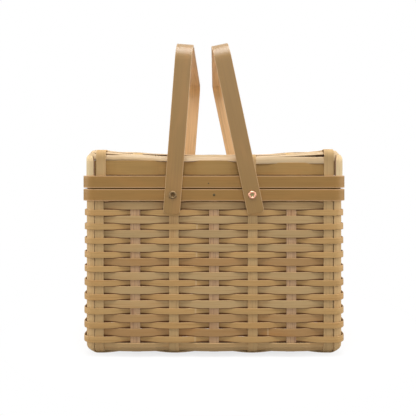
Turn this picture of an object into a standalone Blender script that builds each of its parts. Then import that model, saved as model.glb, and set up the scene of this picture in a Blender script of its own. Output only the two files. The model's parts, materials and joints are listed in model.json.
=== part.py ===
"""Square lidded pie basket, woven from bamboo splints.

Seven stakes run from front to back and seven from side to side. They lie under
the base, turn up at its edge and end between two rim bands. Twenty level rings
of splint, wide and narrow by turns, are woven round them. The lid is made the
same way and stands on the inner rim band. Two bent bamboo bails pivot on
tubular rivets through the rim, one pair at the front and one at the back.

Units are metres, +Z is up, the front faces -Y, and the origin is on the floor
under the middle of the basket.
"""

import math
from dataclasses import dataclass

import bmesh
import bpy
from mathutils import Matrix, Vector

# Driving sizes of the splints
BAND_SPAN = 0.3175
STAKE_WIDTH = 0.0116
STAKE_THICK = 0.0014
WEAVER_THICK = 0.0012
BAND_THICK = 0.0025
BAND_ARRIS = 0.0007
GAP = 0.0003
STAKES = (-3, -2, -1, 0, 1, 2, 3)
STAKE_PITCH = 0.0462
CORNER_STAKE_AT = 0.1365

# The wall, and its plan corners between the last stake of one side and the next
WALL = BAND_SPAN / 2 - BAND_THICK - GAP - STAKE_THICK / 2
CORNER_RADIUS = WALL - CORNER_STAKE_AT - STAKE_WIDTH / 2 - 0.00005
CORNER_STEPS = 3
BEND_STEPS = 4

# How far a weaver swings from the middle of the stakes, outside and inside
SWING_OUT = 0.00213
SWING_IN = 0.00235

# Rows of the wall, from the rim down
ROW_PAIRS = 10
FIRST_ROW_TOP = 0.1854
WIDE_ROW = 0.0092
NARROW_ROW = 0.0070
ROW_PITCH = WIDE_ROW + NARROW_ROW + 2 * GAP

# The base: side stakes and fillers swing below and above the front stakes
BASE_SWING = 0.00227
BASE_LEVEL = BASE_SWING + STAKE_THICK / 2
BASE_BEND = 0.0145
CROSSING_FLAT = 0.0064
FILLER_END = 0.1435
FILLER_EASE = 0.0005
EDGE_TURNS = (math.radians(1), math.radians(28), math.radians(54))
CREASE_EASE = 0.0006

# Rim bands of the body, and the ends of its stakes
BODY_BAND = (0.1867, 0.2005)
BODY_INNER_BAND = (0.1867, 0.1975)
BODY_STAKE_TOP = 0.1975

# The lid
LID_BAND = (0.2021, 0.2166)
LID_INNER_BAND = (BODY_INNER_BAND[1] + GAP, 0.2140)
LID_LEG_FOOT = 0.2035
LID_FUSE = 0.0002
LID_SIDE_ROW = (0.2173, 0.2328)
LID_SHOULDER = 0.2325
LID_BEND = 0.0120
LID_TOP = 0.2470
LID_SAG = 0.0060
LID_SWING = 0.0029
SHOULDER_TURNS = (math.radians(10), math.radians(32), math.radians(54))

# The bails, their rivets and how far each one leans in at rest
PIVOT_Z = 0.1940
LEFT_PIVOT_X = -0.0487
RIGHT_PIVOT_X = 0.0452
LEFT_LEAN = math.radians(4.4)
RIGHT_LEAN = math.radians(12.0)
BAIL_WIDTH = 0.0200
BAIL_THICK = 0.0028
BAIL_EASE = 0.0005
LEFT_REACH = 0.1840
RIGHT_REACH = 0.1870
BAIL_BEND = 0.0230
BAIL_STEPS = 5
TAIL_LENGTH = 0.0224
TAIL_ROUND = 0.0035
TAIL_STEPS = 2
BORE_RADIUS = 0.0024
SHANK_RADIUS = 0.0020
HEAD_RADIUS = 0.0046
HEAD_THICK = 0.0015
HEAD_RECESS = 0.0024
FLANGE_RADIUS = 0.0038
FLANGE_THICK = 0.0010
TUBE_RADIUS = 0.0012
TUBE_DEPTH = 0.0050
RIVET_SIDES = 10


@dataclass
class Finish:
    """Colour in sRGB, roughness and metallic value of a sub-part."""

    colour: tuple
    roughness: float
    metallic: float = 0.0


STRAW = Finish((0.66, 0.55, 0.36), 0.55)
PALE_STRAW = Finish((0.67, 0.53, 0.35), 0.55)
PINK_STRAW = Finish((0.68, 0.54, 0.43), 0.6)
CREAM = Finish((0.80, 0.68, 0.52), 0.6)
OLIVE_BAMBOO = Finish((0.60, 0.48, 0.29), 0.4)
BRASS = Finish((0.55, 0.45, 0.31), 0.4, 1.0)
COPPER = Finish((0.88, 0.63, 0.50), 0.35, 1.0)


@dataclass
class Station:
    """A place on the way round the wall: a point inside it, the way out, the swing."""

    point: Vector
    out: Vector
    swing: float


def clear_scene():
    for item in list(bpy.data.objects):
        bpy.data.objects.remove(item, do_unlink=True)


def linear(channel):
    """Turn one sRGB channel into a linear one."""
    if channel <= 0.04045:
        return channel / 12.92
    return ((channel + 0.055) / 1.055) ** 2.4


def dress(item, finish):
    """Give an object its own material."""
    material = bpy.data.materials.new(item.name)
    material.use_nodes = True
    shader = material.node_tree.nodes["Principled BSDF"]
    colour = [linear(channel) for channel in finish.colour] + [1.0]
    shader.inputs["Base Color"].default_value = colour
    shader.inputs["Roughness"].default_value = finish.roughness
    shader.inputs["Metallic"].default_value = finish.metallic
    item.data.materials.append(material)


def link(name, mesh, finish=None):
    item = bpy.data.objects.new(name, mesh)
    bpy.context.scene.collection.objects.link(item)
    if finish is not None:
        dress(item, finish)
    return item


def loft(name, loops, closed):
    """Join loops of points with faces, round a ring or with a cap at each end."""
    form = bmesh.new()
    rows = [[form.verts.new(point) for point in loop] for loop in loops]
    pairs = list(zip(rows, rows[1:]))
    if closed:
        pairs.append((rows[-1], rows[0]))
    for first, second in pairs:
        count = len(first)
        for at in range(count):
            after = (at + 1) % count
            form.faces.new((first[at], first[after], second[after], second[at]))
    if not closed:
        form.faces.new(rows[0])
        form.faces.new(rows[-1])
    bmesh.ops.recalc_face_normals(form, faces=form.faces)
    mesh = bpy.data.meshes.new(name)
    form.to_mesh(mesh)
    form.free()
    return mesh


def join_meshes(name, meshes):
    """Put several closed meshes into one, as separate bodies."""
    form = bmesh.new()
    for mesh in meshes:
        form.from_mesh(mesh)
    joined = bpy.data.meshes.new(name)
    form.to_mesh(joined)
    form.free()
    return joined


def stake_place(index):
    """Place of a stake along its wall, from the middle of the wall."""
    if abs(index) == max(STAKES):
        return math.copysign(CORNER_STAKE_AT, index)
    return index * STAKE_PITCH


def stations(wide):
    """Stops on the way round the wall, for a row that starts wide or narrow.

    A wide row passes outside the even stakes and inside the odd ones, a narrow
    row the other way. Both stakes at a corner count as one, so a row keeps to
    the same side of them all round the corner.
    """
    inset = WALL - CORNER_RADIUS
    result = []
    for side in range(4):
        turn = Matrix.Rotation(side * math.pi / 2, 3, "Z")
        for index in STAKES:
            outside = (index % 2 == 0) == wide
            swing = SWING_OUT if outside else -SWING_IN
            point = turn @ Vector((stake_place(index), -inset, 0.0))
            result.append(Station(point, turn @ Vector((0.0, -1.0, 0.0)), swing))
        corner_swing = result[-1].swing
        for step in range(CORNER_STEPS + 1):
            angle = step / CORNER_STEPS * math.pi / 2
            out = turn @ Vector((math.sin(angle), -math.cos(angle), 0.0))
            point = turn @ Vector((inset, -inset, 0.0))
            result.append(Station(point, out, corner_swing))
    return result


def corner_stations():
    """Stops of a band, which runs straight from corner to corner."""
    inset = WALL - CORNER_RADIUS
    result = []
    for side in range(4):
        turn = Matrix.Rotation(side * math.pi / 2, 3, "Z")
        for step in range(CORNER_STEPS + 1):
            angle = step / CORNER_STEPS * math.pi / 2
            out = turn @ Vector((math.sin(angle), -math.cos(angle), 0.0))
            result.append(Station(turn @ Vector((inset, -inset, 0.0)), out, 0.0))
    return result


def ring(name, stops, section):
    """Loft a ring. The section gives points as distance out and height."""
    loops = []
    for stop in stops:
        points = section(stop)
        loops.append([stop.point + stop.out * out + Vector((0.0, 0.0, z)) for out, z in points])
    return loft(name, loops, closed=True)


def level_row(name, wide, low, high):
    """A flat weaver that runs level round the wall."""

    def section(stop):
        middle = CORNER_RADIUS + stop.swing
        inner = middle - WEAVER_THICK / 2
        outer = middle + WEAVER_THICK / 2
        return [(inner, low), (outer, low), (outer, high), (inner, high)]

    return ring(name, stations(wide), section)


def bent_row(name, turns, bend_of, centre_of, rise):
    """A weaver creased along its middle, that lies on a rounded edge.

    turns are the angles of its lower edge, crease and upper edge on the bend.
    bend_of and centre_of give the height of the bend and of its centre at a
    stop, and rise is 1 for the shoulder of the lid and -1 for the base edge.
    """
    bend_out = LID_BEND if rise > 0 else BASE_BEND

    def section(stop):
        swing = stop.swing + math.copysign(CREASE_EASE, stop.swing)
        reach = bend_out + swing
        tall = bend_of(stop) + swing
        start = CORNER_RADIUS - bend_out
        points = []
        for side, order in ((WEAVER_THICK / 2, turns), (-WEAVER_THICK / 2, turns[::-1])):
            for turn in order:
                out = start + (reach + side) * math.cos(turn)
                z = centre_of(stop) + rise * (tall + side) * math.sin(turn)
                points.append((out, z))
        return points

    return ring(name, stations(True), section)


def band(name, inner, thick, heights):
    """A rim band with eased arrises on its outer side."""
    low, high = heights
    outer = inner + thick

    def section(_stop):
        return [
            (inner, low),
            (outer - BAND_ARRIS, low),
            (outer, low + BAND_ARRIS),
            (outer, high - BAND_ARRIS),
            (outer - BAND_ARRIS, high),
            (inner, high),
        ]

    return ring(name, corner_stations(), section)


def strip(name, path, across, width, thick, along_x):
    """A flat splint along a path of (distance, height, width share) points."""
    loops = []
    spots = [Vector((point[0], point[1])) for point in path]
    for at, spot in enumerate(spots):
        before = spot - spots[at - 1] if at else spots[1] - spot
        after = spots[at + 1] - spot if at + 1 < len(spots) else before
        heading = (before.normalized() + after.normalized()).normalized()
        mitre = 1 / max(heading.dot(after.normalized()), 0.5)
        side = Vector((-heading.y, heading.x)) * (thick / 2 * mitre)
        half = width / 2 * (path[at][2] if len(path[at]) > 2 else 1.0)
        loop = []
        for sign, shift in ((1, -half), (1, half), (-1, half), (-1, -half)):
            place = spot + side * sign
            if along_x:
                loop.append(Vector((place.x, across + shift, place.y)))
            else:
                loop.append(Vector((across + shift, place.x, place.y)))
        loops.append(loop)
    return loft(name, loops, closed=False)


def bend(centre, reach, tall, start, end, steps=BEND_STEPS):
    """Points on a quarter turn, from one angle to another."""
    points = []
    for step in range(steps + 1):
        angle = start + (end - start) * step / steps
        points.append((centre[0] + reach * math.cos(angle), centre[1] + tall * math.sin(angle)))
    return points


def mirrored(half):
    """A path and its mirror image, as one path."""
    return half + [(-point[0],) + tuple(point[1:]) for point in reversed(half)]


def body_stake_half(level):
    """A body stake from its top down to the base, on the near side.

    Every stake leaves the wall at one height, so a lower one has a taller bend.
    """
    centre = (-(WALL - BASE_BEND), BASE_LEVEL + BASE_BEND)
    turn = bend(centre, BASE_BEND, centre[1] - level, math.pi, math.pi * 1.5)
    return [(-WALL, BODY_STAKE_TOP)] + turn


def front_stakes():
    for number, index in enumerate(STAKES, 1):
        name = f"front_stake_{number}"
        path = mirrored(body_stake_half(BASE_LEVEL))
        mesh = strip(name, path, stake_place(index), STAKE_WIDTH, STAKE_THICK, False)
        item = link(name, mesh, STRAW if index % 2 else PINK_STRAW)
        if index == -1:
            drill(item, "left")
        if index == 1:
            drill(item, "right")


def crossing_level(index, stake, swing):
    """Height of a crossing over the front stakes' own level, inside up."""
    outside = (index % 2 != 0) == stake
    return -swing if outside else swing


def side_stakes():
    for number, index in enumerate(STAKES, 1):
        name = f"side_stake_{number}"
        start = crossing_level(STAKES[0], True, BASE_SWING)
        half = body_stake_half(BASE_LEVEL + start)
        flats = []
        for crossing in STAKES:
            level = BASE_LEVEL + crossing_level(crossing, True, BASE_SWING)
            place = stake_place(crossing)
            flats += [(place - CROSSING_FLAT, level), (place + CROSSING_FLAT, level)]
        # The outer ends of the first and last flats lie inside the bends
        path = half + flats[1:-1] + [(-point[0], point[1]) for point in reversed(half)]
        mesh = strip(name, path, stake_place(index), STAKE_WIDTH, STAKE_THICK, True)
        link(name, mesh, STRAW if index % 2 else PINK_STRAW)


def filler_places():
    """Middle and width of each filler, which lies between two side stakes."""
    places = []
    for first, second in zip(STAKES, STAKES[1:]):
        low = stake_place(first) + STAKE_WIDTH / 2 + FILLER_EASE
        high = stake_place(second) - STAKE_WIDTH / 2 - FILLER_EASE
        places.append(((low + high) / 2, high - low))
    return places


def base_fillers():
    for number, (middle, width) in enumerate(filler_places(), 1):
        name = f"base_filler_{number}"
        path = []
        for crossing in STAKES:
            level = BASE_LEVEL + crossing_level(crossing, False, BASE_SWING)
            path.append((stake_place(crossing), level))
        path = [(-FILLER_END, path[0][1])] + path + [(FILLER_END, path[-1][1])]
        link(name, strip(name, path, middle, width, STAKE_THICK, True), STRAW)


def wall_rows():
    for pair in range(ROW_PAIRS):
        top = FIRST_ROW_TOP - pair * ROW_PITCH
        name = f"wide_weaver_{pair + 1:02d}"
        link(name, level_row(name, True, top - WIDE_ROW, top), STRAW)
        top -= WIDE_ROW + GAP
        name = f"narrow_weaver_{pair + 1:02d}"
        link(name, level_row(name, False, top - NARROW_ROW, top), PALE_STRAW)


def base_edge_row():
    """The side stakes lie lower than the front ones, and the row follows."""

    def tall(stop):
        return BASE_BEND + BASE_SWING * stop.out.x**2

    name = "base_edge_weaver"
    mesh = bent_row(name, EDGE_TURNS, tall, lambda _stop: BASE_LEVEL + BASE_BEND, -1)
    link(name, mesh, STRAW)


def body_bands():
    outer = CORNER_RADIUS + STAKE_THICK / 2 + GAP
    item = link("body_outer_band", band("body_outer_band", outer, BAND_THICK, BODY_BAND), OLIVE_BAMBOO)
    drill(item, "left", "right")
    inner = CORNER_RADIUS - STAKE_THICK / 2 - GAP
    mesh = band("body_inner_band", inner - BAND_THICK, BAND_THICK, BODY_INNER_BAND)
    drill(link("body_inner_band", mesh, OLIVE_BAMBOO), "left", "right")


def lid_level(x):
    """Height of the middle of the lid's front stakes. The lid sags between its sides."""
    share = min(abs(x) / CORNER_STAKE_AT, 1.0)
    return LID_TOP - LID_SAG * (1 - share**2)


def lid_half(level):
    """A lid stake from its foot to the top, on the near side."""
    centre = (-(WALL - LID_BEND), LID_SHOULDER)
    turn = bend(centre, LID_BEND, level - LID_SHOULDER, math.pi, math.pi / 2)
    return [(-WALL, LID_LEG_FOOT)] + turn


def lid_crossings(stake):
    """Crossings of a lid splint with the front stakes, outside up."""
    path = []
    for crossing in STAKES:
        place = stake_place(crossing)
        path.append((place, lid_level(place) - crossing_level(crossing, stake, LID_SWING)))
    return path


def lid_frame():
    """Inner lid band with the ends of all fourteen lid stakes fused to it."""
    meshes = []
    for index in STAKES:
        place = stake_place(index)
        path = mirrored(lid_half(lid_level(place)))
        meshes.append(strip("front", path, place, STAKE_WIDTH, STAKE_THICK, False))
    crossings = lid_crossings(True)
    half = lid_half(crossings[0][1])
    path = half + crossings + [(-point[0], point[1]) for point in reversed(half)]
    for index in STAKES:
        meshes.append(strip("side", path, stake_place(index), STAKE_WIDTH, STAKE_THICK, True))
    stakes = hidden(link("lid_stakes", join_meshes("lid_stakes", meshes)))
    inner = CORNER_RADIUS - STAKE_THICK / 2 + LID_FUSE
    mesh = band("lid_frame", inner - BAND_THICK, BAND_THICK, LID_INNER_BAND)
    item = link("lid_frame", mesh, CREAM)
    fuse = item.modifiers.new("stakes", "BOOLEAN")
    fuse.operation = "UNION"
    fuse.object = stakes


def lid_rows():
    low, high = LID_SIDE_ROW
    link("lid_side_weaver", level_row("lid_side_weaver", True, low, high), CREAM)
    side_bend = lid_crossings(True)[0][1] - LID_SHOULDER

    def bend_of(stop):
        front = lid_level(stop.point.x) - LID_SHOULDER
        return front + (side_bend - front) * stop.out.x**2

    name = "lid_shoulder_weaver"
    mesh = bent_row(name, SHOULDER_TURNS, bend_of, lambda _stop: LID_SHOULDER, 1)
    link(name, mesh, CREAM)


def lid_fillers():
    for number, (middle, width) in enumerate(filler_places(), 1):
        name = f"lid_filler_{number}"
        path = lid_crossings(False)
        path = [(-FILLER_END, path[0][1])] + path + [(FILLER_END, path[-1][1])]
        link(name, strip(name, path, middle, width, STAKE_THICK, True), CREAM)


def lid_band():
    outer = CORNER_RADIUS + STAKE_THICK / 2 + GAP
    link("lid_outer_band", band("lid_outer_band", outer, BAND_THICK, LID_BAND), OLIVE_BAMBOO)


def hidden(item):
    item.hide_render = True
    item.display_type = "WIRE"
    return item


def pivot_x(side):
    return LEFT_PIVOT_X if side == "left" else RIGHT_PIVOT_X


def make_bores():
    """Cutters for the rivet holes, which run right through from front to back."""
    for side in ("left", "right"):
        form = bmesh.new()
        bmesh.ops.create_cone(
            form,
            cap_ends=True,
            segments=RIVET_SIDES,
            radius1=BORE_RADIUS,
            radius2=BORE_RADIUS,
            depth=BAND_SPAN * 1.2,
            matrix=Matrix.Rotation(math.pi / 2, 4, "X"),
        )
        mesh = bpy.data.meshes.new(f"{side}_bore")
        form.to_mesh(mesh)
        form.free()
        cutter = hidden(link(f"{side}_bore", mesh))
        cutter.location = (pivot_x(side), 0.0, PIVOT_Z)


def drill(item, *sides):
    for side in sides:
        cut = item.modifiers.new(f"{side}_bore", "BOOLEAN")
        cut.operation = "DIFFERENCE"
        cut.object = bpy.data.objects[f"{side}_bore"]


def bail(side, lean, reach):
    """A bent bamboo bail. Its origin is on the line through its two rivets."""
    face = BAND_SPAN / 2 + BAIL_EASE
    arm = face + BAIL_THICK / 2
    top = reach - BAIL_THICK / 2
    half = []
    for step in range(TAIL_STEPS + 1):
        angle = step / TAIL_STEPS * math.pi / 2
        height = -TAIL_LENGTH + TAIL_ROUND * (1 - math.cos(angle))
        share = 1 - 2 * TAIL_ROUND * (1 - math.sin(angle)) / BAIL_WIDTH
        half.append((-arm, height, share))
    half += bend((-(arm - BAIL_BEND), top - BAIL_BEND), BAIL_BEND, BAIL_BEND,
                 math.pi, math.pi / 2, BAIL_STEPS)
    name = f"{side}_handle"
    mesh = strip(name, mirrored(half), 0.0, BAIL_WIDTH, BAIL_THICK, False)
    item = link(name, mesh, OLIVE_BAMBOO)
    item.location = (pivot_x(side), 0.0, PIVOT_Z)
    item.rotation_euler = (0.0, lean, 0.0)
    drill(item, side)


def rivet(name, x, front, finish):
    """A tubular rivet: head over the bail, flange clinched over the inner band."""
    under = BAND_SPAN / 2 + BAIL_EASE + BAIL_THICK + 0.0002
    head = under + HEAD_THICK
    flange = WALL - STAKE_THICK / 2 - GAP - BAND_THICK - GAP
    end = flange - FLANGE_THICK
    profile = [
        (0.0, head - HEAD_THICK * 0.6),
        (HEAD_RECESS, head - HEAD_THICK * 0.6),
        (HEAD_RECESS + 0.0006, head),
        (HEAD_RADIUS - 0.0007, head),
        (HEAD_RADIUS, head - HEAD_THICK / 2),
        (HEAD_RADIUS - 0.0003, under),
        (SHANK_RADIUS, under),
        (SHANK_RADIUS, flange),
        (FLANGE_RADIUS, flange),
        (FLANGE_RADIUS - 0.0004, end),
        (TUBE_RADIUS, end),
        (TUBE_RADIUS, end + TUBE_DEPTH),
        (0.0, end + TUBE_DEPTH),
    ]
    form = bmesh.new()
    chain = [form.verts.new((radius, 0.0, z)) for radius, z in profile]
    edges = [form.edges.new(pair) for pair in zip(chain, chain[1:])]
    bmesh.ops.spin(form, geom=chain + edges, axis=(0, 0, 1), cent=(0, 0, 0),
                   angle=2 * math.pi, steps=RIVET_SIDES)
    bmesh.ops.remove_doubles(form, verts=form.verts, dist=0.00001)
    bmesh.ops.recalc_face_normals(form, faces=form.faces)
    mesh = bpy.data.meshes.new(name)
    form.to_mesh(mesh)
    form.free()
    mesh.shade_smooth()
    mesh.set_sharp_from_angle(angle=math.radians(40))
    item = link(name, mesh, finish)
    item.location = (x, 0.0, PIVOT_Z)
    item.rotation_euler = (math.pi / 2 if front else -math.pi / 2, 0.0, 0.0)


def rivets():
    for side, finish in (("left", BRASS), ("right", COPPER)):
        rivet(f"{side}_front_rivet", pivot_x(side), True, finish)
        rivet(f"{side}_back_rivet", pivot_x(side), False, finish)


def main():
    clear_scene()
    make_bores()
    front_stakes()
    side_stakes()
    base_fillers()
    wall_rows()
    base_edge_row()
    body_bands()
    lid_frame()
    lid_band()
    lid_rows()
    lid_fillers()
    bail("left", LEFT_LEAN, LEFT_REACH)
    bail("right", -RIGHT_LEAN, RIGHT_REACH)
    rivets()


main()
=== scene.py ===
"""Looks of a square lidded pie basket, woven from split bamboo.

Every splint of the basket is a flat ribbon swept along its own line, so the
stakes, the woven rows, the bands and the two bent handles all come from one
Geometry Nodes tree. Each class below stands for one sub-assembly and takes its
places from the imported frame. Lengths are metres, +Z is up, the front faces -Y.
"""

from __future__ import annotations

import json
import logging
import math
from collections.abc import Callable, Iterable, Sequence
from dataclasses import dataclass, field
from enum import Enum
from functools import partial

import bpy
from mathutils import Euler, Matrix, Vector

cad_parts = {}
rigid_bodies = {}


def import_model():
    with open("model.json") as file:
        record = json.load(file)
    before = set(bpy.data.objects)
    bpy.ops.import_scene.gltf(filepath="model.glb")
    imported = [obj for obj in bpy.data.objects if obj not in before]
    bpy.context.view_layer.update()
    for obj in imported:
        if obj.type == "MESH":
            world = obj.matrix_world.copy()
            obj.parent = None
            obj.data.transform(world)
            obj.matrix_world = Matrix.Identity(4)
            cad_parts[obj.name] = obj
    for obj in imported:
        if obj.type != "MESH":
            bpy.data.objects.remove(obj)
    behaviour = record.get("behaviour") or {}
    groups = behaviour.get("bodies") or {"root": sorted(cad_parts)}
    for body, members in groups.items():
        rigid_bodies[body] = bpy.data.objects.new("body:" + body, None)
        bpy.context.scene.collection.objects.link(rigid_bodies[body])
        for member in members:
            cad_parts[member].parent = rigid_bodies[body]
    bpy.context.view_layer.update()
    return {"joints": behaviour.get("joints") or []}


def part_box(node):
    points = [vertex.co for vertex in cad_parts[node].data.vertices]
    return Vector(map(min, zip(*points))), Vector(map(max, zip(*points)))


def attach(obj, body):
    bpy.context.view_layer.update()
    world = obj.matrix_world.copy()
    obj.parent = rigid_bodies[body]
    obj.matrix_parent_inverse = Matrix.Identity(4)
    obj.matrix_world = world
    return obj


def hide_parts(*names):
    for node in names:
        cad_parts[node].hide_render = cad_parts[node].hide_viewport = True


logging.basicConfig(level=logging.INFO, format="%(message)s")
log = logging.getLogger("pie_basket")

MILLIMETRE = 0.001
QUARTER = math.pi / 2
UP = Vector((0.0, 0.0, 1.0))
# Numbers of a wall's seven stakes, from the middle one, and of the six wide splints between them
STAKES = range(-3, 4)
FILLERS = range(1, 7)
# A splint without a knot has it far off its end
NO_KNOT = -9.0
# Length between two points of a splint's line where it runs straight, and where it is woven
STRAIGHT_STEP = 0.006
WOVEN_STEP = 0.0035

# The middle of a splint, the way across it and the way it faces
Placing = tuple[Vector, Vector, Vector]


def colour(hex_value: str) -> tuple[float, float, float, float]:
    """Turn an sRGB hex colour into a linear one.

    Args:
        hex_value: Six hex digits after a hash sign.

    Returns:
        Linear red, green and blue, and an alpha of 1.
    """
    channels = [int(hex_value[at : at + 2], 16) / 255 for at in (1, 3, 5)]
    linear = [c / 12.92 if c <= 0.04045 else ((c + 0.055) / 1.055) ** 2.4 for c in channels]
    return (*linear, 1.0)


def add_node(tree: bpy.types.NodeTree, kind: str, feeds: dict[int | str, object] | None = None,
             **settings: object) -> bpy.types.Node:
    """Add a node with its settings, values and links.

    Args:
        tree: The node tree that gets it.
        kind: The node's type name.
        feeds: Socket name or number, with a value or with the socket that feeds
            it. A node stands for its first output.
        **settings: The node's own properties.

    Returns:
        The new node.
    """
    made = tree.nodes.new(kind)
    for name, value in settings.items():
        setattr(made, name, value)
    for key, value in (feeds or {}).items():
        source = value.outputs[0] if isinstance(value, bpy.types.Node) else value
        if isinstance(source, bpy.types.NodeSocket):
            tree.links.new(source, made.inputs[key])
        else:
            made.inputs[key].default_value = source
    return made


@dataclass(frozen=True)
class Bamboo:
    """Split bamboo: a skin side and a paler flesh side, with fibres along it.

    The fibres are 0.3 to 0.5 mm apart on the real thing and are drawn coarser
    here, as far apart as they need to be to show. arris is the colour of the cut
    edges, stain that of the darker fibres, warm that of the browner patches and
    crevice that of the painted shade on an edge in the shadow of its neighbours.
    knot_mm is half the length of a knot's mark, which is gone at knot_end_mm.
    TUCKED_SHIFT and TUCKED_REACH are what that painted shade gains where a row is
    fully tucked in.
    """

    title: str
    slot: str
    skin: str
    flesh: str
    arris: str
    stain: str
    warm: str = "#AE7A42"
    knot: str = "#C8AA7E"
    # Colour of the painted shade on edges in the shadow of their neighbours
    crevice: str = "#5A3220"
    # How far the painted shade darkens a splint's edges
    edge_shade_depth: float = 0.85
    fibre_mm: float = 1.1
    fibre_length_mm: float = 55.0
    fibre_depth: float = 0.5
    patch_mm: float = 14.0
    patch_length_mm: float = 60.0
    patch_depth: float = 0.22
    knot_mm: float = 0.5
    knot_end_mm: float = 1.4
    arris_share: float = 0.90
    arris_depth: float = 0.6
    roughness: float = 0.5
    varnish: float = 0.04
    coat_roughness: float = 0.35
    gloss: float = 0.22
    relief_mm: float = 0.05

    ATTRIBUTES = ("along", "over", "side", "face", "tone", "warmth", "knot", "seed", "tuck")
    SEED_STEP = 17.3
    TONE_STEP = 0.16
    BLOTCH_STEP = 0.25
    KNOT_DEPTH = 0.6
    EDGE_SHIFT = 0.045
    TUCKED_SHIFT = 0.04
    TUCKED_REACH = 0.58
    LEAST_TUCK = 0.05

    def material(self) -> bpy.types.Material:
        """Build the node material.

        Returns:
            A material that reads the attributes stored on each splint.
        """
        made = bpy.data.materials.new(self.title)
        made.use_nodes = True
        tree = made.node_tree
        read = {name: add_node(tree, "ShaderNodeAttribute", attribute_name=name).outputs["Fac"]
                for name in self.ATTRIBUTES}
        fibre = self.grain(tree, read, self.fibre_length_mm, self.fibre_mm, 3.0)
        patch = self.grain(tree, read, self.patch_length_mm, self.patch_mm, 2.0)
        shares = self.shares(tree, read, fibre, patch)
        paint = colour(self.skin)
        for layer, tint in (("flesh", self.flesh), ("streaks", self.stain), ("warmth", self.warm),
                            ("arris", self.arris), ("knot", self.knot), ("crevice", self.crevice)):
            feeds = {0: shares[layer], 6: paint, 7: colour(tint)}
            paint = add_node(tree, "ShaderNodeMix", feeds, data_type="RGBA").outputs[2]
        feeds = {0: read["tone"], 1: self.TONE_STEP, 2: 1 - self.patch_depth / 2}
        lift = add_node(tree, "ShaderNodeMath", feeds, operation="MULTIPLY_ADD")
        feeds = {0: patch, 1: self.patch_depth, 2: lift}
        level = add_node(tree, "ShaderNodeMath", feeds, operation="MULTIPLY_ADD")
        feeds = {"Strength": 0.5, "Distance": self.relief_mm * MILLIMETRE, "Height": fibre}
        sources = {
            "Base Color": add_node(tree, "ShaderNodeHueSaturation", {"Value": level, "Color": paint}),
            "Roughness": shares["dullness"],
            "Normal": add_node(tree, "ShaderNodeBump", feeds),
        }
        shader = tree.nodes["Principled BSDF"]
        for key, source in sources.items():
            tree.links.new(source.outputs[0], shader.inputs[key])
        shader.inputs["Specular IOR Level"].default_value = self.gloss
        shader.inputs["Coat Weight"].default_value = self.varnish
        shader.inputs["Coat Roughness"].default_value = self.coat_roughness
        return made

    def grain(self, tree: bpy.types.NodeTree, read: dict[str, bpy.types.NodeSocket], length_mm: float,
              width_mm: float, detail: float) -> bpy.types.Node:
        """Draw spots that are long along the splint and differ from one splint to the next.

        Args:
            tree: The material's tree.
            read: The splint's attributes.
            length_mm: Length of the spots.
            width_mm: Width of the spots.
            detail: How many finer noises lie over them.

        Returns:
            The noise.
        """
        feeds = {0: read["seed"], 1: self.SEED_STEP}
        parts = {2: add_node(tree, "ShaderNodeMath", feeds, operation="MULTIPLY")}
        for axis, name, size in ((0, "along", length_mm), (1, "over", width_mm)):
            feeds = {0: read[name], 1: 1 / (size * MILLIMETRE)}
            parts[axis] = add_node(tree, "ShaderNodeMath", feeds, operation="MULTIPLY")
        place = add_node(tree, "ShaderNodeCombineXYZ", parts)
        return add_node(tree, "ShaderNodeTexNoise", {"Vector": place, "Scale": 1.0, "Detail": detail})

    def shares(self, tree: bpy.types.NodeTree, read: dict[str, bpy.types.NodeSocket], fibre: bpy.types.Node,
               patch: bpy.types.Node) -> dict[str, bpy.types.Node]:
        """Work out how much of each colour shows, and how dull the surface is.

        Args:
            tree: The material's tree.
            read: The splint's attributes.
            fibre: The noise of the fibres.
            patch: The noise of the patches.

        Returns:
            The share of each layer, by name.
        """
        side = add_node(tree, "ShaderNodeMath", {0: read["side"]}, operation="ABSOLUTE")
        feeds = {0: read["along"], 1: read["knot"]}
        past_knot = add_node(tree, "ShaderNodeMath", feeds, operation="SUBTRACT")
        off_knot = add_node(tree, "ShaderNodeMath", {0: past_knot}, operation="ABSOLUTE")
        # Painted shade: a row's lower edge is darkened, and both edges where it is tucked in behind its
        # neighbours
        feeds = {0: read["tuck"], 1: self.TUCKED_SHIFT, 2: self.EDGE_SHIFT}
        middle = add_node(tree, "ShaderNodeMath", feeds, operation="MULTIPLY_ADD")
        past_middle = add_node(tree, "ShaderNodeMath", {0: read["side"], 1: middle}, operation="SUBTRACT")
        off_middle = add_node(tree, "ShaderNodeMath", {0: past_middle}, operation="ABSOLUTE")
        feeds = {0: read["tuck"], 1: self.TUCKED_REACH, 2: off_middle}
        reach = add_node(tree, "ShaderNodeMath", feeds, operation="MULTIPLY_ADD")
        made = {}
        for name, value, low, high, start, end in (
            ("flesh", read["face"], -0.7, -0.3, 1.0, 0.0),
            ("outside", read["face"], -0.7, -0.3, 0.0, 1.0),
            ("streaks", fibre, 0.46, 0.72, 0.0, self.fibre_depth),
            ("blotches", patch, 0.45, 0.75, 0.0, 1.0),
            ("arris", side, self.arris_share, self.arris_share + 0.08, 0.0, self.arris_depth),
            ("knot", off_knot, self.knot_mm * MILLIMETRE, self.knot_end_mm * MILLIMETRE,
             self.KNOT_DEPTH, 0.0),
            ("edge_shade", reach, 1.0, 1.09, 0.0, self.edge_shade_depth),
            ("dullness", fibre, 0.3, 0.7, self.roughness - 0.08, self.roughness + 0.1),
        ):
            feeds = {"Value": value, "From Min": low, "From Max": high, "To Min": start, "To Max": end}
            made[name] = add_node(tree, "ShaderNodeMapRange", feeds, interpolation_type="SMOOTHSTEP")
        feeds = {0: made["blotches"], 1: self.BLOTCH_STEP, 2: read["warmth"]}
        made["warmth"] = add_node(tree, "ShaderNodeMath", feeds, operation="MULTIPLY_ADD")
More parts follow.
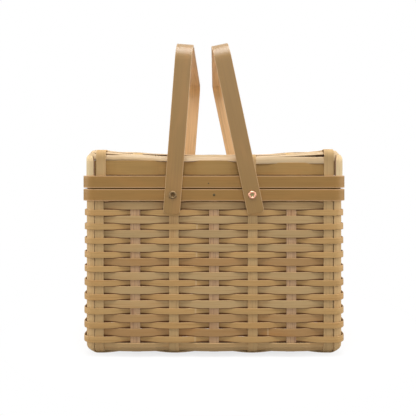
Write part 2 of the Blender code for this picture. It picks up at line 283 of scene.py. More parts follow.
        # Only woven splints have a tuck above 0, and so painted crevice shade
        feeds = {0: read["tuck"], 1: 1 / self.LEAST_TUCK}
        woven = add_node(tree, "ShaderNodeMath", feeds, operation="MULTIPLY")
        woven = add_node(tree, "ShaderNodeMath", {0: woven, 1: 1.0}, operation="MINIMUM")
        crevice = add_node(tree, "ShaderNodeMath", {0: made["edge_shade"], 1: woven}, operation="MULTIPLY")
        feeds = {0: crevice, 1: made["outside"]}
        made["crevice"] = add_node(tree, "ShaderNodeMath", feeds, operation="MULTIPLY")
        return made


@dataclass(frozen=True)
class RivetMetal:
    """Plated rivet metal, bright on its rolled ring and dull down in its hollow."""

    title: str
    slot: str
    bright: str
    hollow: str
    roughness: float
    tarnish: float
    spot_mm: float = 1.11

    def material(self) -> bpy.types.Material:
        """Build the node material.

        Returns:
            A metal that darkens where the attribute hollow is 1.
        """
        made = bpy.data.materials.new(self.title)
        made.use_nodes = True
        tree = made.node_tree
        place = add_node(tree, "ShaderNodeTexCoord").outputs["Object"]
        feeds = {"Vector": place, "Scale": 1 / (self.spot_mm * MILLIMETRE), "Detail": 3.0}
        spots = add_node(tree, "ShaderNodeTexNoise", feeds)
        aged = add_node(tree, "ShaderNodeMath", {0: spots, 1: self.tarnish}, operation="MULTIPLY")
        deep = add_node(tree, "ShaderNodeAttribute", attribute_name="hollow").outputs["Fac"]
        share = add_node(tree, "ShaderNodeMath", {0: deep, 1: aged}, operation="ADD", use_clamp=True)
        feeds = {0: share, 6: colour(self.bright), 7: colour(self.hollow)}
        mixed = add_node(tree, "ShaderNodeMix", feeds, data_type="RGBA")
        feeds = {"Value": share, "To Min": self.roughness, "To Max": self.roughness + 0.25}
        rough = add_node(tree, "ShaderNodeMapRange", feeds)
        shader = tree.nodes["Principled BSDF"]
        tree.links.new(mixed.outputs[2], shader.inputs["Base Color"])
        tree.links.new(rough.outputs[0], shader.inputs["Roughness"])
        shader.inputs["Metallic"].default_value = 1.0
        return made


class Finish(Enum):
    """The finishes of the basket."""

    # Stakes are split from the inside of the culm and left bare: straw coloured, fibrous and matt
    STAKE = Bamboo("bamboo_stake", "stake_splint", "#C0A071", "#C4A67E", "#C8AA80", "#A4825A",
                   varnish=0.0, gloss=0.15, roughness=0.6, fibre_depth=0.45)
    # Every other stake is split from a pinker culm, whose coarse fibres show as stripes
    PINK_STAKE = Bamboo("bamboo_pink_stake", "stake_splint", "#BE9C78", "#C4A486", "#CCAA8A", "#96725A",
                        varnish=0.0, gloss=0.12, roughness=0.65, fibre_mm=1.4, fibre_depth=0.85)
    # The outermost side stakes of the lid are split from the palest culm: cream and matt
    PALE_STAKE = Bamboo("bamboo_pale_stake", "stake_splint", "#CEB890", "#D0BA94", "#D8C4A0", "#B0946C",
                        varnish=0.0, gloss=0.15, roughness=0.6, fibre_depth=0.4)
    # Wide rows are planed splints with a breath of varnish: buff, with soft streaks
    WIDE_ROW = Bamboo("bamboo_wide_row", "wide_weaver_splint", "#B29569", "#B99C6E", "#C4A274", "#9C7C50")
    # Narrow rows are planed in the same way from another culm: a yellower buff
    NARROW_ROW = Bamboo("bamboo_narrow_row", "narrow_weaver_splint", "#BC9863", "#BC9A6A", "#C49E6E",
                        "#9A7748")
    # The lid's side row is planed close to the skin: browner and more even
    LID_ROW = Bamboo("bamboo_lid_row", "lid_splint", "#A6834D", "#C9A478", "#CAA678", "#927040",
                     fibre_depth=0.4, patch_depth=0.16)
    # The splints over the lid are planed smooth and varnished: pale, with a faint sheen
    LID_MAT = Bamboo("bamboo_lid_mat", "lid_splint", "#BCA37E", "#C6AC86", "#CCB28C", "#A4845C",
                     varnish=0.2, roughness=0.4)
    # Bands keep the outer skin of the culm: olive brown and closed, with pale cut edges
    RIM = Bamboo("bamboo_skin_band", "rim_bamboo", "#9D7845", "#D0A472", "#C49C70", "#8A683A",
                 fibre_depth=0.35, patch_depth=0.12, roughness=0.5, varnish=0.08, arris_share=0.82,
                 arris_depth=0.9, gloss=0.12)
    # Handles keep the skin outside and are bent hot and varnished: satin, with an orange inside
    HANDLE = Bamboo("bamboo_skin_handle", "handle_bamboo", "#947038", "#D8AE7C", "#C09A6C", "#846436",
                    fibre_depth=0.4, patch_depth=0.12, roughness=0.4, varnish=0.8, arris_share=0.90,
                    arris_depth=0.8, fibre_mm=1.3, fibre_length_mm=90.0, coat_roughness=0.38)
    # The left handle's tubular rivets are brass gone dark: a dull ring round a brown hollow
    BRASS = RivetMetal("darkened_brass", "antique_brass", "#8E7858", "#6A5236", 0.42, 0.6)
    # The tacks are brass, tarnished nearly black
    TACK = RivetMetal("tarnished_tack", "antique_brass", "#6A5C42", "#4A4030", 0.45, 0.6)
    # The right handle's rivets are copper plated: a bright pink ring round a greenish hollow
    COPPER = RivetMetal("copper_plate", "copper", "#EBAF94", "#9A9268", 0.3, 0.15)

    def slot(self) -> str:
        """Name of the record's slot."""
        return self.value.slot


class Paintbox:
    """Builds each material once."""

    def __init__(self) -> None:
        """Start with nothing built."""
        self.built: dict[Finish, bpy.types.Material] = {}

    def get(self, finish: Finish) -> bpy.types.Material:
        """Build a finish's material, or find the one already built.

        Args:
            finish: The finish.

        Returns:
            Its material.
        """
        if finish not in self.built:
            self.built[finish] = finish.value.material()
        return self.built[finish]


PAINTS = Paintbox()


@dataclass(frozen=True)
class Stock:
    """What one length of bamboo looks like beside its neighbours."""

    tone: float = 0.0
    warmth: float = 0.0
    knot: float = NO_KNOT
    seed: float = 0.0


@dataclass
class Strand:
    """The line that a splint follows.

    swell is its share of the full width at each point, thin its share of the
    full thickness, cup how far its cross-section curls in, per metre, and tuck
    how far it lies in behind its neighbours, from 0 to 1, which sets the painted shade on its edges.
    """

    points: list[Vector] = field(default_factory=list)
    across: list[Vector] = field(default_factory=list)
    swell: list[float] = field(default_factory=list)
    thin: list[float] = field(default_factory=list)
    cup: list[float] = field(default_factory=list)
    tuck: list[float] = field(default_factory=list)
    stock: Stock = Stock()

    def add(self, point: Vector, across: Vector, swell: float = 1.0, thin: float = 1.0, cup: float = 0.0,
            tuck: float = 0.0) -> None:
        """Add a point at the end of the line.

        Args:
            point: Its place.
            across: The way across the splint there.
            swell: Share of the full width.
            thin: Share of the full thickness.
            cup: Curl of the cross-section.
            tuck: How far in behind its neighbours the splint lies, for the painted shade on its edges.
        """
        self.points.append(point)
        self.across.append(across)
        self.swell.append(swell)
        self.thin.append(thin)
        self.cup.append(cup)
        self.tuck.append(tuck)


@dataclass(frozen=True)
class Cut:
    """Cross-section of a splint: its sizes and how square its corners are.

    squareness is the power of the superellipse, so 1 is round and 0 is sharp.
    waver is how far its edges stray up and down.
    """

    width: float
    thick: float
    squareness: float = 0.22
    sides: int = 20
    waver: float = 0.0


def frozen(item: bpy.types.Object, name: str) -> bpy.types.Object:
    """Turn an object with modifiers into a plain mesh object.

    Args:
        item: The object, which is removed.
        name: The new object's name.

    Returns:
        An object at the origin whose mesh holds the result.
    """
    graph = bpy.context.evaluated_depsgraph_get()
    mesh = bpy.data.meshes.new_from_object(item.evaluated_get(graph), depsgraph=graph)
    bpy.data.objects.remove(item, do_unlink=True)
    for helper in ("across", "outward", "swell", "thin", "cup"):
        if helper in mesh.attributes:
            mesh.attributes.remove(mesh.attributes[helper])
    mesh.name = name
    made = bpy.data.objects.new(name, mesh)
    bpy.context.scene.collection.objects.link(made)
    return made


class PieceTree:
    """A Geometry Nodes tree that makes a piece from a mesh and named sizes."""

    SOCKETS = {"FLOAT": "NodeSocketFloat", "INT": "NodeSocketInt", "VECTOR": "NodeSocketVector"}

    def __init__(self, title: str, source: str, sizes: Iterable[tuple[str, str]]) -> None:
        """Start the tree with its inputs.

        Args:
            title: The tree's name.
            source: Name of the mesh that it starts from.
            sizes: Name and kind of each other input.
        """
        self.tree = bpy.data.node_groups.new(title, "GeometryNodeTree")
        face = self.tree.interface
        face.new_socket(source, in_out="INPUT", socket_type="NodeSocketGeometry")
        kinds = {name: self.SOCKETS[kind] for name, kind in sizes} | {"Material": "NodeSocketMaterial"}
        self.sockets = {name: face.new_socket(name, in_out="INPUT", socket_type=kind).identifier
                        for name, kind in kinds.items()}
        face.new_socket("Piece", in_out="OUTPUT", socket_type="NodeSocketGeometry")
        self.given = self.tree.nodes.new("NodeGroupInput").outputs

    def end(self, geometry: bpy.types.Node) -> None:
        """Make the result real, give it its material and hand it out.

        Args:
            geometry: The node that made it.
        """
        real = add_node(self.tree, "GeometryNodeRealizeInstances", {0: geometry})
        feeds = {"Geometry": real, "Material": self.given["Material"]}
        dressed = add_node(self.tree, "GeometryNodeSetMaterial", feeds)
        add_node(self.tree, "NodeGroupOutput", {0: dressed})

    def run(self, name: str, mesh: bpy.types.Mesh, finish: Finish, sizes: dict[str, object]
            ) -> bpy.types.Object:
        """Make a piece.

        Args:
            name: The piece's name.
            mesh: What the tree starts from.
            finish: The piece's finish.
            sizes: The tree's other inputs.

        Returns:
            The finished piece, not yet riding on a body.
        """
        item = bpy.data.objects.new(name + "_source", mesh)
        bpy.context.scene.collection.objects.link(item)
        maker = item.modifiers.new("maker", "NODES")
        maker.node_group = self.tree
        for key, value in (sizes | {"Material": PAINTS.get(finish)}).items():
            maker[self.sockets[key]] = value
        return frozen(item, name)


class SplintTree(PieceTree):
    """Sweeps a splint along each line of a mesh."""

    WAVER_LENGTH = 0.040
    SEED_STEP = 9.7
    # The noise strays by about a quarter, so four times that is the whole waver
    NOISE_REACH = 4.0
    READ = {"swell": "FLOAT", "thin": "FLOAT", "cup": "FLOAT", "seed": "FLOAT", "across": "FLOAT_VECTOR",
            "outward": "FLOAT_VECTOR"}

    def __init__(self) -> None:
        """Build the tree."""
        super().__init__("swept_splint", "Lines",
                         (("Width", "FLOAT"), ("Thickness", "FLOAT"), ("Squareness", "FLOAT"),
                          ("Sides", "INT"), ("Waver", "FLOAT")))
        self.read = {
            name: add_node(self.tree, "GeometryNodeInputNamedAttribute", {"Name": name},
                           data_type=kind).outputs["Attribute"]
            for name, kind in self.READ.items()
        }
        self.lines = self.turned_lines()
        self.profile = self.superellipse()
        swept = add_node(self.tree, "GeometryNodeCurveToMesh",
                         {"Curve": self.lines, "Profile Curve": self.profile, "Fill Caps": True})
        self.parts = add_node(self.tree, "ShaderNodeSeparateXYZ", {0: self.profile.outputs[1]}).outputs
        stored = self.stored(self.shaped(swept))
        self.end(add_node(self.tree, "GeometryNodeSetShadeSmooth", {0: stored}))

    def turned_lines(self) -> bpy.types.Node:
        """Turn the lines into curves that face the right way.

        Returns:
            The curves, and then the length along them.
        """
        tree = self.tree
        curve = add_node(tree, "GeometryNodeMeshToCurve", {0: self.given["Lines"]})
        feeds = {0: curve, "Normal": self.read["across"]}
        faced = add_node(tree, "GeometryNodeSetCurveNormal", feeds, mode="FREE")
        kept = add_node(tree, "GeometryNodeCaptureAttribute", {0: faced})
        kept.capture_items.new("FLOAT", "Length")
        length = add_node(tree, "GeometryNodeSplineParameter").outputs["Length"]
        tree.links.new(length, kept.inputs[1])
        return kept

    def superellipse(self) -> bpy.types.Node:
        """Make the cross-section.

        Returns:
            The closed curve, and then the place of its points.
        """
        tree, given = self.tree, self.given
        feeds = {"Resolution": given["Sides"], "Radius": 1.0}
        ring = add_node(tree, "GeometryNodeCurvePrimitiveCircle", feeds)
        place = add_node(tree, "GeometryNodeInputPosition")
        parts = add_node(tree, "ShaderNodeSeparateXYZ", {0: place}).outputs
        sizes = {}
        for axis, size in ((0, given["Width"]), (1, given["Thickness"])):
            away = add_node(tree, "ShaderNodeMath", {0: parts[axis]}, operation="ABSOLUTE")
            feeds = {0: away, 1: given["Squareness"]}
            result = add_node(tree, "ShaderNodeMath", feeds, operation="POWER")
            # A point on the axis stays there, though the power of next to nothing isn't 0
            off_axis = add_node(tree, "ShaderNodeMath", {0: away, 1: 1e-5}, operation="GREATER_THAN")
            sign = add_node(tree, "ShaderNodeMath", {0: parts[axis]}, operation="SIGN")
            half = add_node(tree, "ShaderNodeMath", {0: size, 1: 0.5}, operation="MULTIPLY")
            for factor in (off_axis, sign, half):
                result = add_node(tree, "ShaderNodeMath", {0: result, 1: factor}, operation="MULTIPLY")
            sizes[axis] = result
        shaped = add_node(tree, "ShaderNodeCombineXYZ", sizes)
        moved = add_node(tree, "GeometryNodeSetPosition", {0: ring, "Position": shaped})
        kept = add_node(tree, "GeometryNodeCaptureAttribute", {0: moved})
        kept.capture_items.new("VECTOR", "Place")
        tree.links.new(add_node(tree, "GeometryNodeInputPosition").outputs[0], kept.inputs[1])
        return kept

    def shaped(self, swept: bpy.types.Node) -> bpy.types.Node:
        """Narrow, thin and cup the swept splint where its line says so, and let its edges stray.

        Args:
            swept: The full-size splint.

        Returns:
            The shaped splint.
        """
        tree, read, parts = self.tree, self.read, self.parts
        less = add_node(tree, "ShaderNodeMath", {0: read["swell"], 1: 1.0}, operation="SUBTRACT")
        wide = add_node(tree, "ShaderNodeMath", {0: parts[0], 1: less}, operation="MULTIPLY")
        less = add_node(tree, "ShaderNodeMath", {0: read["thin"], 1: 1.0}, operation="SUBTRACT")
        thick = add_node(tree, "ShaderNodeMath", {0: parts[1], 1: less}, operation="MULTIPLY")
        square = add_node(tree, "ShaderNodeMath", {0: parts[0], 1: parts[0]}, operation="MULTIPLY")
        curl = add_node(tree, "ShaderNodeMath", {0: square, 1: read["cup"]}, operation="MULTIPLY")
        outward = add_node(tree, "ShaderNodeMath", {0: thick, 1: curl}, operation="SUBTRACT")
        start = add_node(tree, "ShaderNodeMath", {0: read["seed"], 1: self.SEED_STEP}, operation="MULTIPLY")
        feeds = {0: self.lines.outputs[1], 1: 1 / self.WAVER_LENGTH, 2: start}
        run = add_node(tree, "ShaderNodeMath", feeds, operation="MULTIPLY_ADD")
        feeds = {"W": run, "Scale": 1.0, "Detail": 1.0}
        stray = add_node(tree, "ShaderNodeTexNoise", feeds, noise_dimensions="1D")
        centred = add_node(tree, "ShaderNodeMath", {0: stray, 1: 0.5}, operation="SUBTRACT")
        feeds = {0: self.given["Waver"], 1: self.NOISE_REACH}
        reach = add_node(tree, "ShaderNodeMath", feeds, operation="MULTIPLY")
        shift = add_node(tree, "ShaderNodeMath", {0: centred, 1: reach}, operation="MULTIPLY")
        sideways = add_node(tree, "ShaderNodeMath", {0: wide, 1: shift}, operation="ADD")
        offsets = {
            at: add_node(tree, "ShaderNodeVectorMath", {0: read[way], 3: amount}, operation="SCALE")
            for at, (way, amount) in enumerate((("across", sideways), ("outward", outward)))
        }
        total = add_node(tree, "ShaderNodeVectorMath", offsets, operation="ADD")
        return add_node(tree, "GeometryNodeSetPosition", {0: swept, "Offset": total})

    def stored(self, mesh: bpy.types.Node) -> bpy.types.Node:
        """Store what the materials read.

        Args:
            mesh: The shaped splint.

        Returns:
            The splint with its attributes.
        """
        values = {"along": self.lines.outputs[1], "over": self.parts[0]}
        for name, part, size in (("side", 0, "Width"), ("face", 1, "Thickness")):
            half = add_node(self.tree, "ShaderNodeMath", {0: self.given[size], 1: 0.5}, operation="MULTIPLY")
            feeds = {0: self.parts[part], 1: half}
            values[name] = add_node(self.tree, "ShaderNodeMath", feeds, operation="DIVIDE")
        for name, value in values.items():
            feeds = {"Geometry": mesh, "Name": name, "Value": value}
            mesh = add_node(self.tree, "GeometryNodeStoreNamedAttribute", feeds, data_type="FLOAT",
                            domain="POINT")
        return mesh


class Workshop:
    """Cuts splints, drills them and hands pieces to the frame."""

    HOLE_SIDES = 24

    def __init__(self) -> None:
        """Build the splint tree."""
        self.splints = SplintTree()

    def cut(self, name: str, strands: Sequence[Strand], section: Cut, finish: Finish) -> bpy.types.Object:
        """Sweep splints along their lines.

        Args:
            name: The piece's name.
            strands: The lines, which become one mesh.
            section: Their cross-section.
            finish: Their finish.

        Returns:
            The finished piece, not yet riding on a body.
        """
        points, edges = [], []
        for strand in strands:
            start = len(points)
            points += strand.points
            edges += [(start + at, start + at + 1) for at in range(len(strand.points) - 1)]
        mesh = bpy.data.meshes.new(name)
        mesh.from_pydata(points, edges, [])
        vectors = {"across": [], "outward": []}
        shapes = ("swell", "thin", "cup", "tuck")
        stocks = ("tone", "warmth", "knot", "seed")
        floats = {key: [] for key in shapes + stocks}
        for strand in strands:
            count = len(strand.points)
            for at in range(count):
                before = strand.points[max(at - 1, 0)]
                after = strand.points[min(at + 1, count - 1)]
                outward = (after - before).normalized().cross(strand.across[at])
                vectors["across"] += strand.across[at][:]
                vectors["outward"] += outward[:]
            for key in shapes:
                floats[key] += getattr(strand, key)
            for key in stocks:
                floats[key] += [getattr(strand.stock, key)] * count
        for key, values in vectors.items():
            mesh.attributes.new(key, "FLOAT_VECTOR", "POINT").data.foreach_set("vector", values)
        for key, values in floats.items():
            mesh.attributes.new(key, "FLOAT", "POINT").data.foreach_set("value", values)
        sizes = {"Width": section.width, "Thickness": section.thick, "Squareness": section.squareness,
                 "Sides": section.sides, "Waver": section.waver}
        return self.splints.run(name, mesh, finish, sizes)

    def drill(self, item: bpy.types.Object, holes: Sequence[tuple[float, float]], radius: float,
              reach: float) -> bpy.types.Object:
        """Bore round holes through a piece, from front to back.

        Args:
            item: The piece, which is replaced.
            holes: X and Z of each hole.
            radius: The holes' radius.
            reach: How far the cutter runs to each side.

        Returns:
            The drilled piece, under the same name.
        """
        cutters = []
        name = item.name
        for x, z in holes:
            bpy.ops.mesh.primitive_cylinder_add(vertices=self.HOLE_SIDES, radius=radius, depth=2 * reach,
                                                location=(x, 0.0, z), rotation=(QUARTER, 0.0, 0.0))
            cutters.append(bpy.context.object)
            hole = item.modifiers.new("hole", "BOOLEAN")
            hole.operation = "DIFFERENCE"
            hole.object = cutters[-1]
        item.name = name + "_undrilled"
        made = frozen(item, name)
        for cutter in cutters:
            bpy.data.objects.remove(cutter, do_unlink=True)
        return made

    def deliver(self, item: bpy.types.Object, body: str, finish: Finish, *nodes: str) -> None:
        """Let a piece ride on a body and stand for its CAD nodes.

        Args:
            item: The piece.
            body: The body's name.
            finish: The piece's finish, which names its slot.
            *nodes: The CAD nodes whose place it takes.
        """
        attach(item, body)
        finish.slot()
        if nodes:
            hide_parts(*nodes)
        log.info("%s: %d faces on %s", item.name, len(item.data.polygons), body)


def eased(at: float, stops: Sequence[tuple[float, float]]) -> float:
    """Value at a place between stops, eased out of one stop and into the next.

    Args:
        at: The place.
        stops: Place and value of each stop, in order.

    Returns:
        The value there.
    """
    if at <= stops[0][0]:
        return stops[0][1]
    for (start, low), (end, high) in zip(stops, stops[1:]):
        if at <= end:
            share = (1 - math.cos(math.pi * (at - start) / (end - start))) / 2
            return low + (high - low) * share
    return stops[-1][1]


def flipped(vector: Vector) -> Vector:
    """A vector's mirror image from left to right."""
    return Vector((-vector.x, vector.y, vector.z))


def spaced(start: float, end: float, step: float) -> list[float]:
    """Evenly spaced numbers from start to end, at most step apart."""
    count = max(math.ceil(abs(end - start) / step), 1)
    return [start + (end - start) * at / count for at in range(count + 1)]


def is_outermost(index: int) -> bool:
    """True for the first and the last stake of a wall."""
    return abs(index) == STAKES[-1]


def between_legs(leg: Sequence[tuple[float, float]], step: float) -> list[float]:
    """Places between the end of a stake's leg and that of its mirror image."""
    return spaced(leg[-1][0], -leg[-1][0], step)[1:-1]


def upright(level: float, away: float, swing_out: float, swing_in: float, share: float, point: Vector,
            out: Vector) -> Placing:
    """Place a splint that stands upright in the wall.

    Args:
        level: Height of its middle.
        away: How far out of the stakes' middle plane it lies.
        swing_out: How much further out it lies outside a stake.
        swing_in: How much further in it lies inside a stake.
        share: 1 outside a stake and -1 inside it.
        point: Place on the stakes' middle plane.
        out: The way out.

    Returns:
        Its middle, the way across it and the way it faces.
    """
    middle = point + out * (away + share * (swing_out if share > 0 else swing_in))
    middle.z = level
    return middle, UP, out


@dataclass(frozen=True)
class Weave:
    """Places of the stakes and of the wall, read from the frame."""

    stakes: tuple[float, ...]
    fronts: tuple[float, ...]
    wall: float
    radius: float
    stake_width: float = 0.0116
    stake_thick: float = 0.0014
    weaver_thick: float = 0.0012
    step: float = 0.0028
    corner_turns: tuple[float, float] = (math.radians(61.0), math.radians(60.0))
    proud: tuple[float, float] = (0.0, 0.0)

    @classmethod
    def from_frame(cls, drift: Sequence[float], **corners: tuple[float, float]) -> Weave:
        """Read the stakes' places and the wall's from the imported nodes.

        Args:
            drift: How far each front stake strays from its even place, from the left.
            **corners: Turn of the left and right corner stakes, and how proud they stand.

        Returns:
            The places for one of the two woven sub-assemblies.
        """
        stakes = []
        for index in STAKES:
            low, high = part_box(f"front_stake_{index + 4}")
            stakes.append((low.x + high.x) / 2)
        low, _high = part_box("front_stake_4")
        wall = -low.y - cls.stake_thick / 2
        fronts = tuple(place + stray for place, stray in zip(stakes, drift))
        return cls(tuple(stakes), fronts, wall, wall - stakes[-1] - cls.stake_width / 2, **corners)

    @property
    def inset(self) -> float:
        """Half the length of a wall's straight part."""
        return self.wall - self.radius

    @property
    def side_length(self) -> float:
        """Length round the wall from one side's start to the next side's start."""
        return 2 * self.inset + self.radius * QUARTER

    @property
    def perimeter(self) -> float:
        """Length once round the wall."""
        return 4 * self.side_length

    @property
    def through(self) -> float:
        """How far a cutter runs to each side to pass both walls."""
        return 1.2 * self.wall

    @property
    def stake_cut(self) -> Cut:
        """Cross-section of a stake."""
        return Cut(self.stake_width, self.stake_thick)

    def lap_start(self, lap_at: int) -> float:
        """Length round the wall to a stake of the back wall, numbered from its right end."""
        return 2 * self.side_length + self.stakes[lap_at] + self.inset

    def at(self, run: float) -> tuple[Vector, Vector]:
        """Place and outward way at a length round the wall, anticlockwise from the front left corner.

        Args:
            run: The length, which may be past a full round.

        Returns:
            A point on the stakes' middle plane at height 0, and the way out.
        """
        side, rest = divmod(run % self.perimeter, self.side_length)
        turn = Matrix.Rotation(side * QUARTER, 3, "Z")
        if rest <= 2 * self.inset:
            out = Vector((0.0, -1.0, 0.0))
            point = Vector((rest - self.inset, -self.wall, 0.0))
        else:
            angle = (rest - 2 * self.inset) / self.radius
            out = Vector((math.sin(angle), -math.cos(angle), 0.0))
            point = Vector((self.inset, -self.inset, 0.0)) + out * self.radius
        return turn @ point, turn @ out

    def crossings(self, outside_even: bool) -> list[tuple[float, float]]:
        """List where a row crosses the stakes, twice round.

        Args:
            outside_even: True where the row lies outside the even stakes.

        Returns:
            Length round the wall of each stake, with 1 outside it and -1 inside it.
        """
        stops = []
        backs = tuple(-place for place in reversed(self.fronts))
        for side in range(-1, 9):
            places = {0: self.fronts, 2: backs}.get(side % 4, self.stakes)
            for index, place in zip(STAKES, places):
                outside = (index % 2 == 0) == outside_even
                stops.append((side * self.side_length + place + self.inset, 1.0 if outside else -1.0))
        return stops

    def rise(self, x: float, swing: float) -> float:
        """Height of a splint that rises by swing at the odd front stakes and falls at the even ones."""
        stops = [(place, swing if index % 2 else -swing) for index, place in zip(STAKES, self.fronts)]
        return eased(x, stops)

    def corner_stake(self, right: bool, sign: int, inward: float, height: float, share: float
                     ) -> tuple[Vector, Vector]:
        """Place a point of a corner's side stake, which is turned to follow the rounded corner.

        Args:
            right: True for the right wall's stake, which is still placed on the left wall.
            sign: -1 at the front, 1 at the back.
            inward: How far in from the wall the point lies.
            height: Its height.
            share: 1 where it stands on the corner, 0 where it runs square to its wall.

        Returns:
            The point on the left wall, and the way across.
        """
        turn = -sign * self.corner_turns[right] * share
        out = Vector((-math.cos(turn), -math.sin(turn), 0.0))
        anchor = Vector((-self.inset, sign * (self.inset * share + self.stakes[-1] * (1 - share)), height))
        reach = self.radius + self.proud[right] * share - inward
        return anchor + out * reach, Vector((math.sin(turn), -math.cos(turn), 0.0))

    def side_leg(self, right: bool, index: int, leg: Sequence[tuple[float, float]], bend: float,
                 flat_way: Vector) -> list[tuple[Vector, Vector, float]]:
        """Place one leg of a side stake, turned to the corner where it is the last of its wall.

        Args:
            right: True for the right leg, which is mirrored from the left wall.
            index: Number of the stake, from -3 to 3.
            leg: Distance and height of each point of the leg.
            bend: Radius of its bend.
            flat_way: The way across it where it isn't turned.

        Returns:
            Point, way across and cup of each point, from the top of the leg.
        """
        placed = []
        for x, z in leg:
            point, across, cup = Vector((x, self.stakes[index + 3], z)), flat_way, 0.0
            if is_outermost(index):
                inward = x + self.wall
                share = max(1 - inward / bend, 0.0)
                point, across = self.corner_stake(right, int(math.copysign(1, index)), inward, z, share)
                across, cup = across * -flat_way.y, share / (2 * self.radius)
            placed.append((flipped(point), flipped(across), cup) if right else (point, across, cup))
        return placed

    def side_strand(self, index: int, leg: Sequence[tuple[float, float]], flat: Sequence[tuple[float, float]],
                    bend: float, flat_way: Vector, stock: Stock, tuck: float = 0.0) -> Strand:
        """Lead a side stake along its left leg, over the flat part and back along its right leg.

        Args:
            index: Number of the stake, from -3 to 3.
            leg: Distance and height of each point of a leg.
            flat: X and height of each point between the legs.
            bend: Radius of the bends.
            flat_way: The way across it where it isn't turned.
            stock: The bamboo it is cut from.
            tuck: How far its legs lie in behind their neighbours, which sets the painted shade on their
                edges.

        Returns:
            Its line.
        """
        strand = Strand(stock=stock)
        for point, across, cup in self.side_leg(False, index, leg, bend, flat_way):
            strand.add(point, across, cup=cup, tuck=tuck)
        for x, z in flat:
            strand.add(Vector((x, self.stakes[index + 3], z)), flat_way)
        for point, across, cup in reversed(self.side_leg(True, index, leg, bend, flat_way)):
            strand.add(point, across, cup=cup, tuck=tuck)
        return strand

    def flat_splint(self, node: str, level: Callable[[float], float], facing: float, stock: Stock
                    ) -> tuple[Strand, Cut]:
        """Lay a wide splint from side to side, in the place of a CAD node.

        Args:
            node: The CAD node.
            level: Gives its height at each x.
            facing: -1 where its skin faces down, 1 where it faces up.
            stock: The bamboo it is cut from.

        Returns:
            Its line and its cross-section.
        """
        low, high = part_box(node)
        strand = Strand(stock=stock)
        for x in spaced(low.x, high.x, WOVEN_STEP):
            strand.add(Vector((x, (low.y + high.y) / 2, level(x))), Vector((0.0, facing, 0.0)))
        return strand, Cut(high.y - low.y, self.stake_thick, squareness=0.12, sides=24)


@dataclass(frozen=True)
class Row:
    """A splint woven round the wall: how it swings and narrows, and where it is lapped.

    lap_at is the number of the stake on the back wall, from its right end, where
    its ends are scarfed together behind a stake. stiff is the power that keeps a
    stiff row out longer before it dives: 1 is a plain wave. Where a row is tucked
    in behind its neighbours, spread is how much wider it is squeezed there and
    drop how far it slips down, so that no light comes through. tuck and edge_shade
    say how wide the painted shade on its edges is there and everywhere else.
    """

    outside_even: bool
    spread: float = 0.0
    drop: float = 0.0
    tuck: float = 0.0
    edge_shade: float = 0.0
    lap_at: int = 2
    lap: float = 0.030
    stiff: float = 1.0
    broad: float = 1.0

    SCARF_GAP = 0.03
    EARLY = 0.35
    SQUEEZE = 1.5

    def strand(self, weave: Weave, place: Callable[[float, Vector, Vector], Placing], thick: float,
               stock: Stock) -> Strand:
        """Follow the row once round the wall.

        Args:
            weave: The wall's places.
            place: Gives the middle, the across way and the outward way at a place.
            thick: The splint's thickness, for its scarf.
            stock: The bamboo it is cut from.

        Returns:
            The line, whose ends taper past each other.
        """
        stops = weave.crossings(self.outside_even)
        start = weave.lap_start(self.lap_at)
        strand = Strand(stock=stock)
        for run in spaced(0.0, weave.perimeter + self.lap, weave.step):
            point, out = weave.at(start + run)
            share = eased((start + run) % weave.perimeter, stops)
            share = math.copysign(abs(share) ** self.stiff, share)
            thin = min(run / self.lap, (weave.perimeter + self.lap - run) / self.lap, 1.0)
            thin = max(thin, 2 * self.SCARF_GAP)
            first = run < weave.perimeter / 2
            middle, across, outward = place(share, point, out)
            middle = middle + outward * ((1 - thin) * thick / 2 * (1 if first else -1))
            inside = max(-share, 0.0) ** self.SQUEEZE
            middle = middle - across * (self.drop * inside)
            # The painted shade on the edges grows where the row dives in behind a stake
            shade = max(self.EARLY - share, 0.0) / (1 + self.EARLY)
            strand.add(middle, across, self.broad * (1 + self.spread * inside),
                       thin if thin == 1.0 else thin - self.SCARF_GAP, tuck=self.edge_shade + self.tuck * shade)
        return strand


@dataclass
class Bands:
    """Rim bands: the body's and the lid's, each an inner and an outer one."""

    thick: float = 0.0025
    gap: float = 0.0003
    lap: float = 0.045
    squareness: float = 0.10
    sides: int = 24

    def strand(self, weave: Weave, level: float, outer: bool, lap_at: int, stock: Stock) -> Strand:
        """Follow a band once round the wall.

        Args:
            weave: The wall's places.
            level: Height of its middle.
            outer: True outside the stakes, False inside.
            lap_at: Stake on the back wall where it is lapped.
            stock: The bamboo it is cut from.

        Returns:
            The line of the band's middle.
        """
        away = weave.stake_thick / 2 + self.gap + self.thick / 2
        place = partial(upright, level, away if outer else -away, 0.0, 0.0)
        return Row(True, lap_at=lap_at, lap=self.lap).strand(weave, place, self.thick, stock)

    def cut(self, height: float) -> Cut:
        """Cross-section of a band of some height."""
        return Cut(height, self.thick, self.squareness, self.sides)

    def build(self, shop: Workshop, weave: Weave, name: str, node: str, outer: bool, body: str, stock: Stock,
              lap_at: int, holes: Sequence[tuple[float, float]] = (), skirt: float = 0.0) -> None:
        """Cut one band to its node's height and hand it over.

        Args:
            shop: Cuts the band.
            weave: The wall's places.
            name: The band's name.
            node: Its CAD node.
            outer: True outside the stakes, False inside.
            body: The body it rides on.
            stock: The bamboo it is cut from.
            lap_at: Stake on the back wall where it is lapped.
            holes: X and Z of the rivet holes.
            skirt: How far it reaches below its node.
        """
        low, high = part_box(node)
        low.z -= skirt
        strand = self.strand(weave, (low.z + high.z) / 2, outer, lap_at, stock)
        item = shop.cut(name, [strand], self.cut(high.z - low.z), Finish.RIM)
        if holes:
            item = shop.drill(item, holes, Rivets.BORE, weave.through)
        shop.deliver(item, body, Finish.RIM, node)


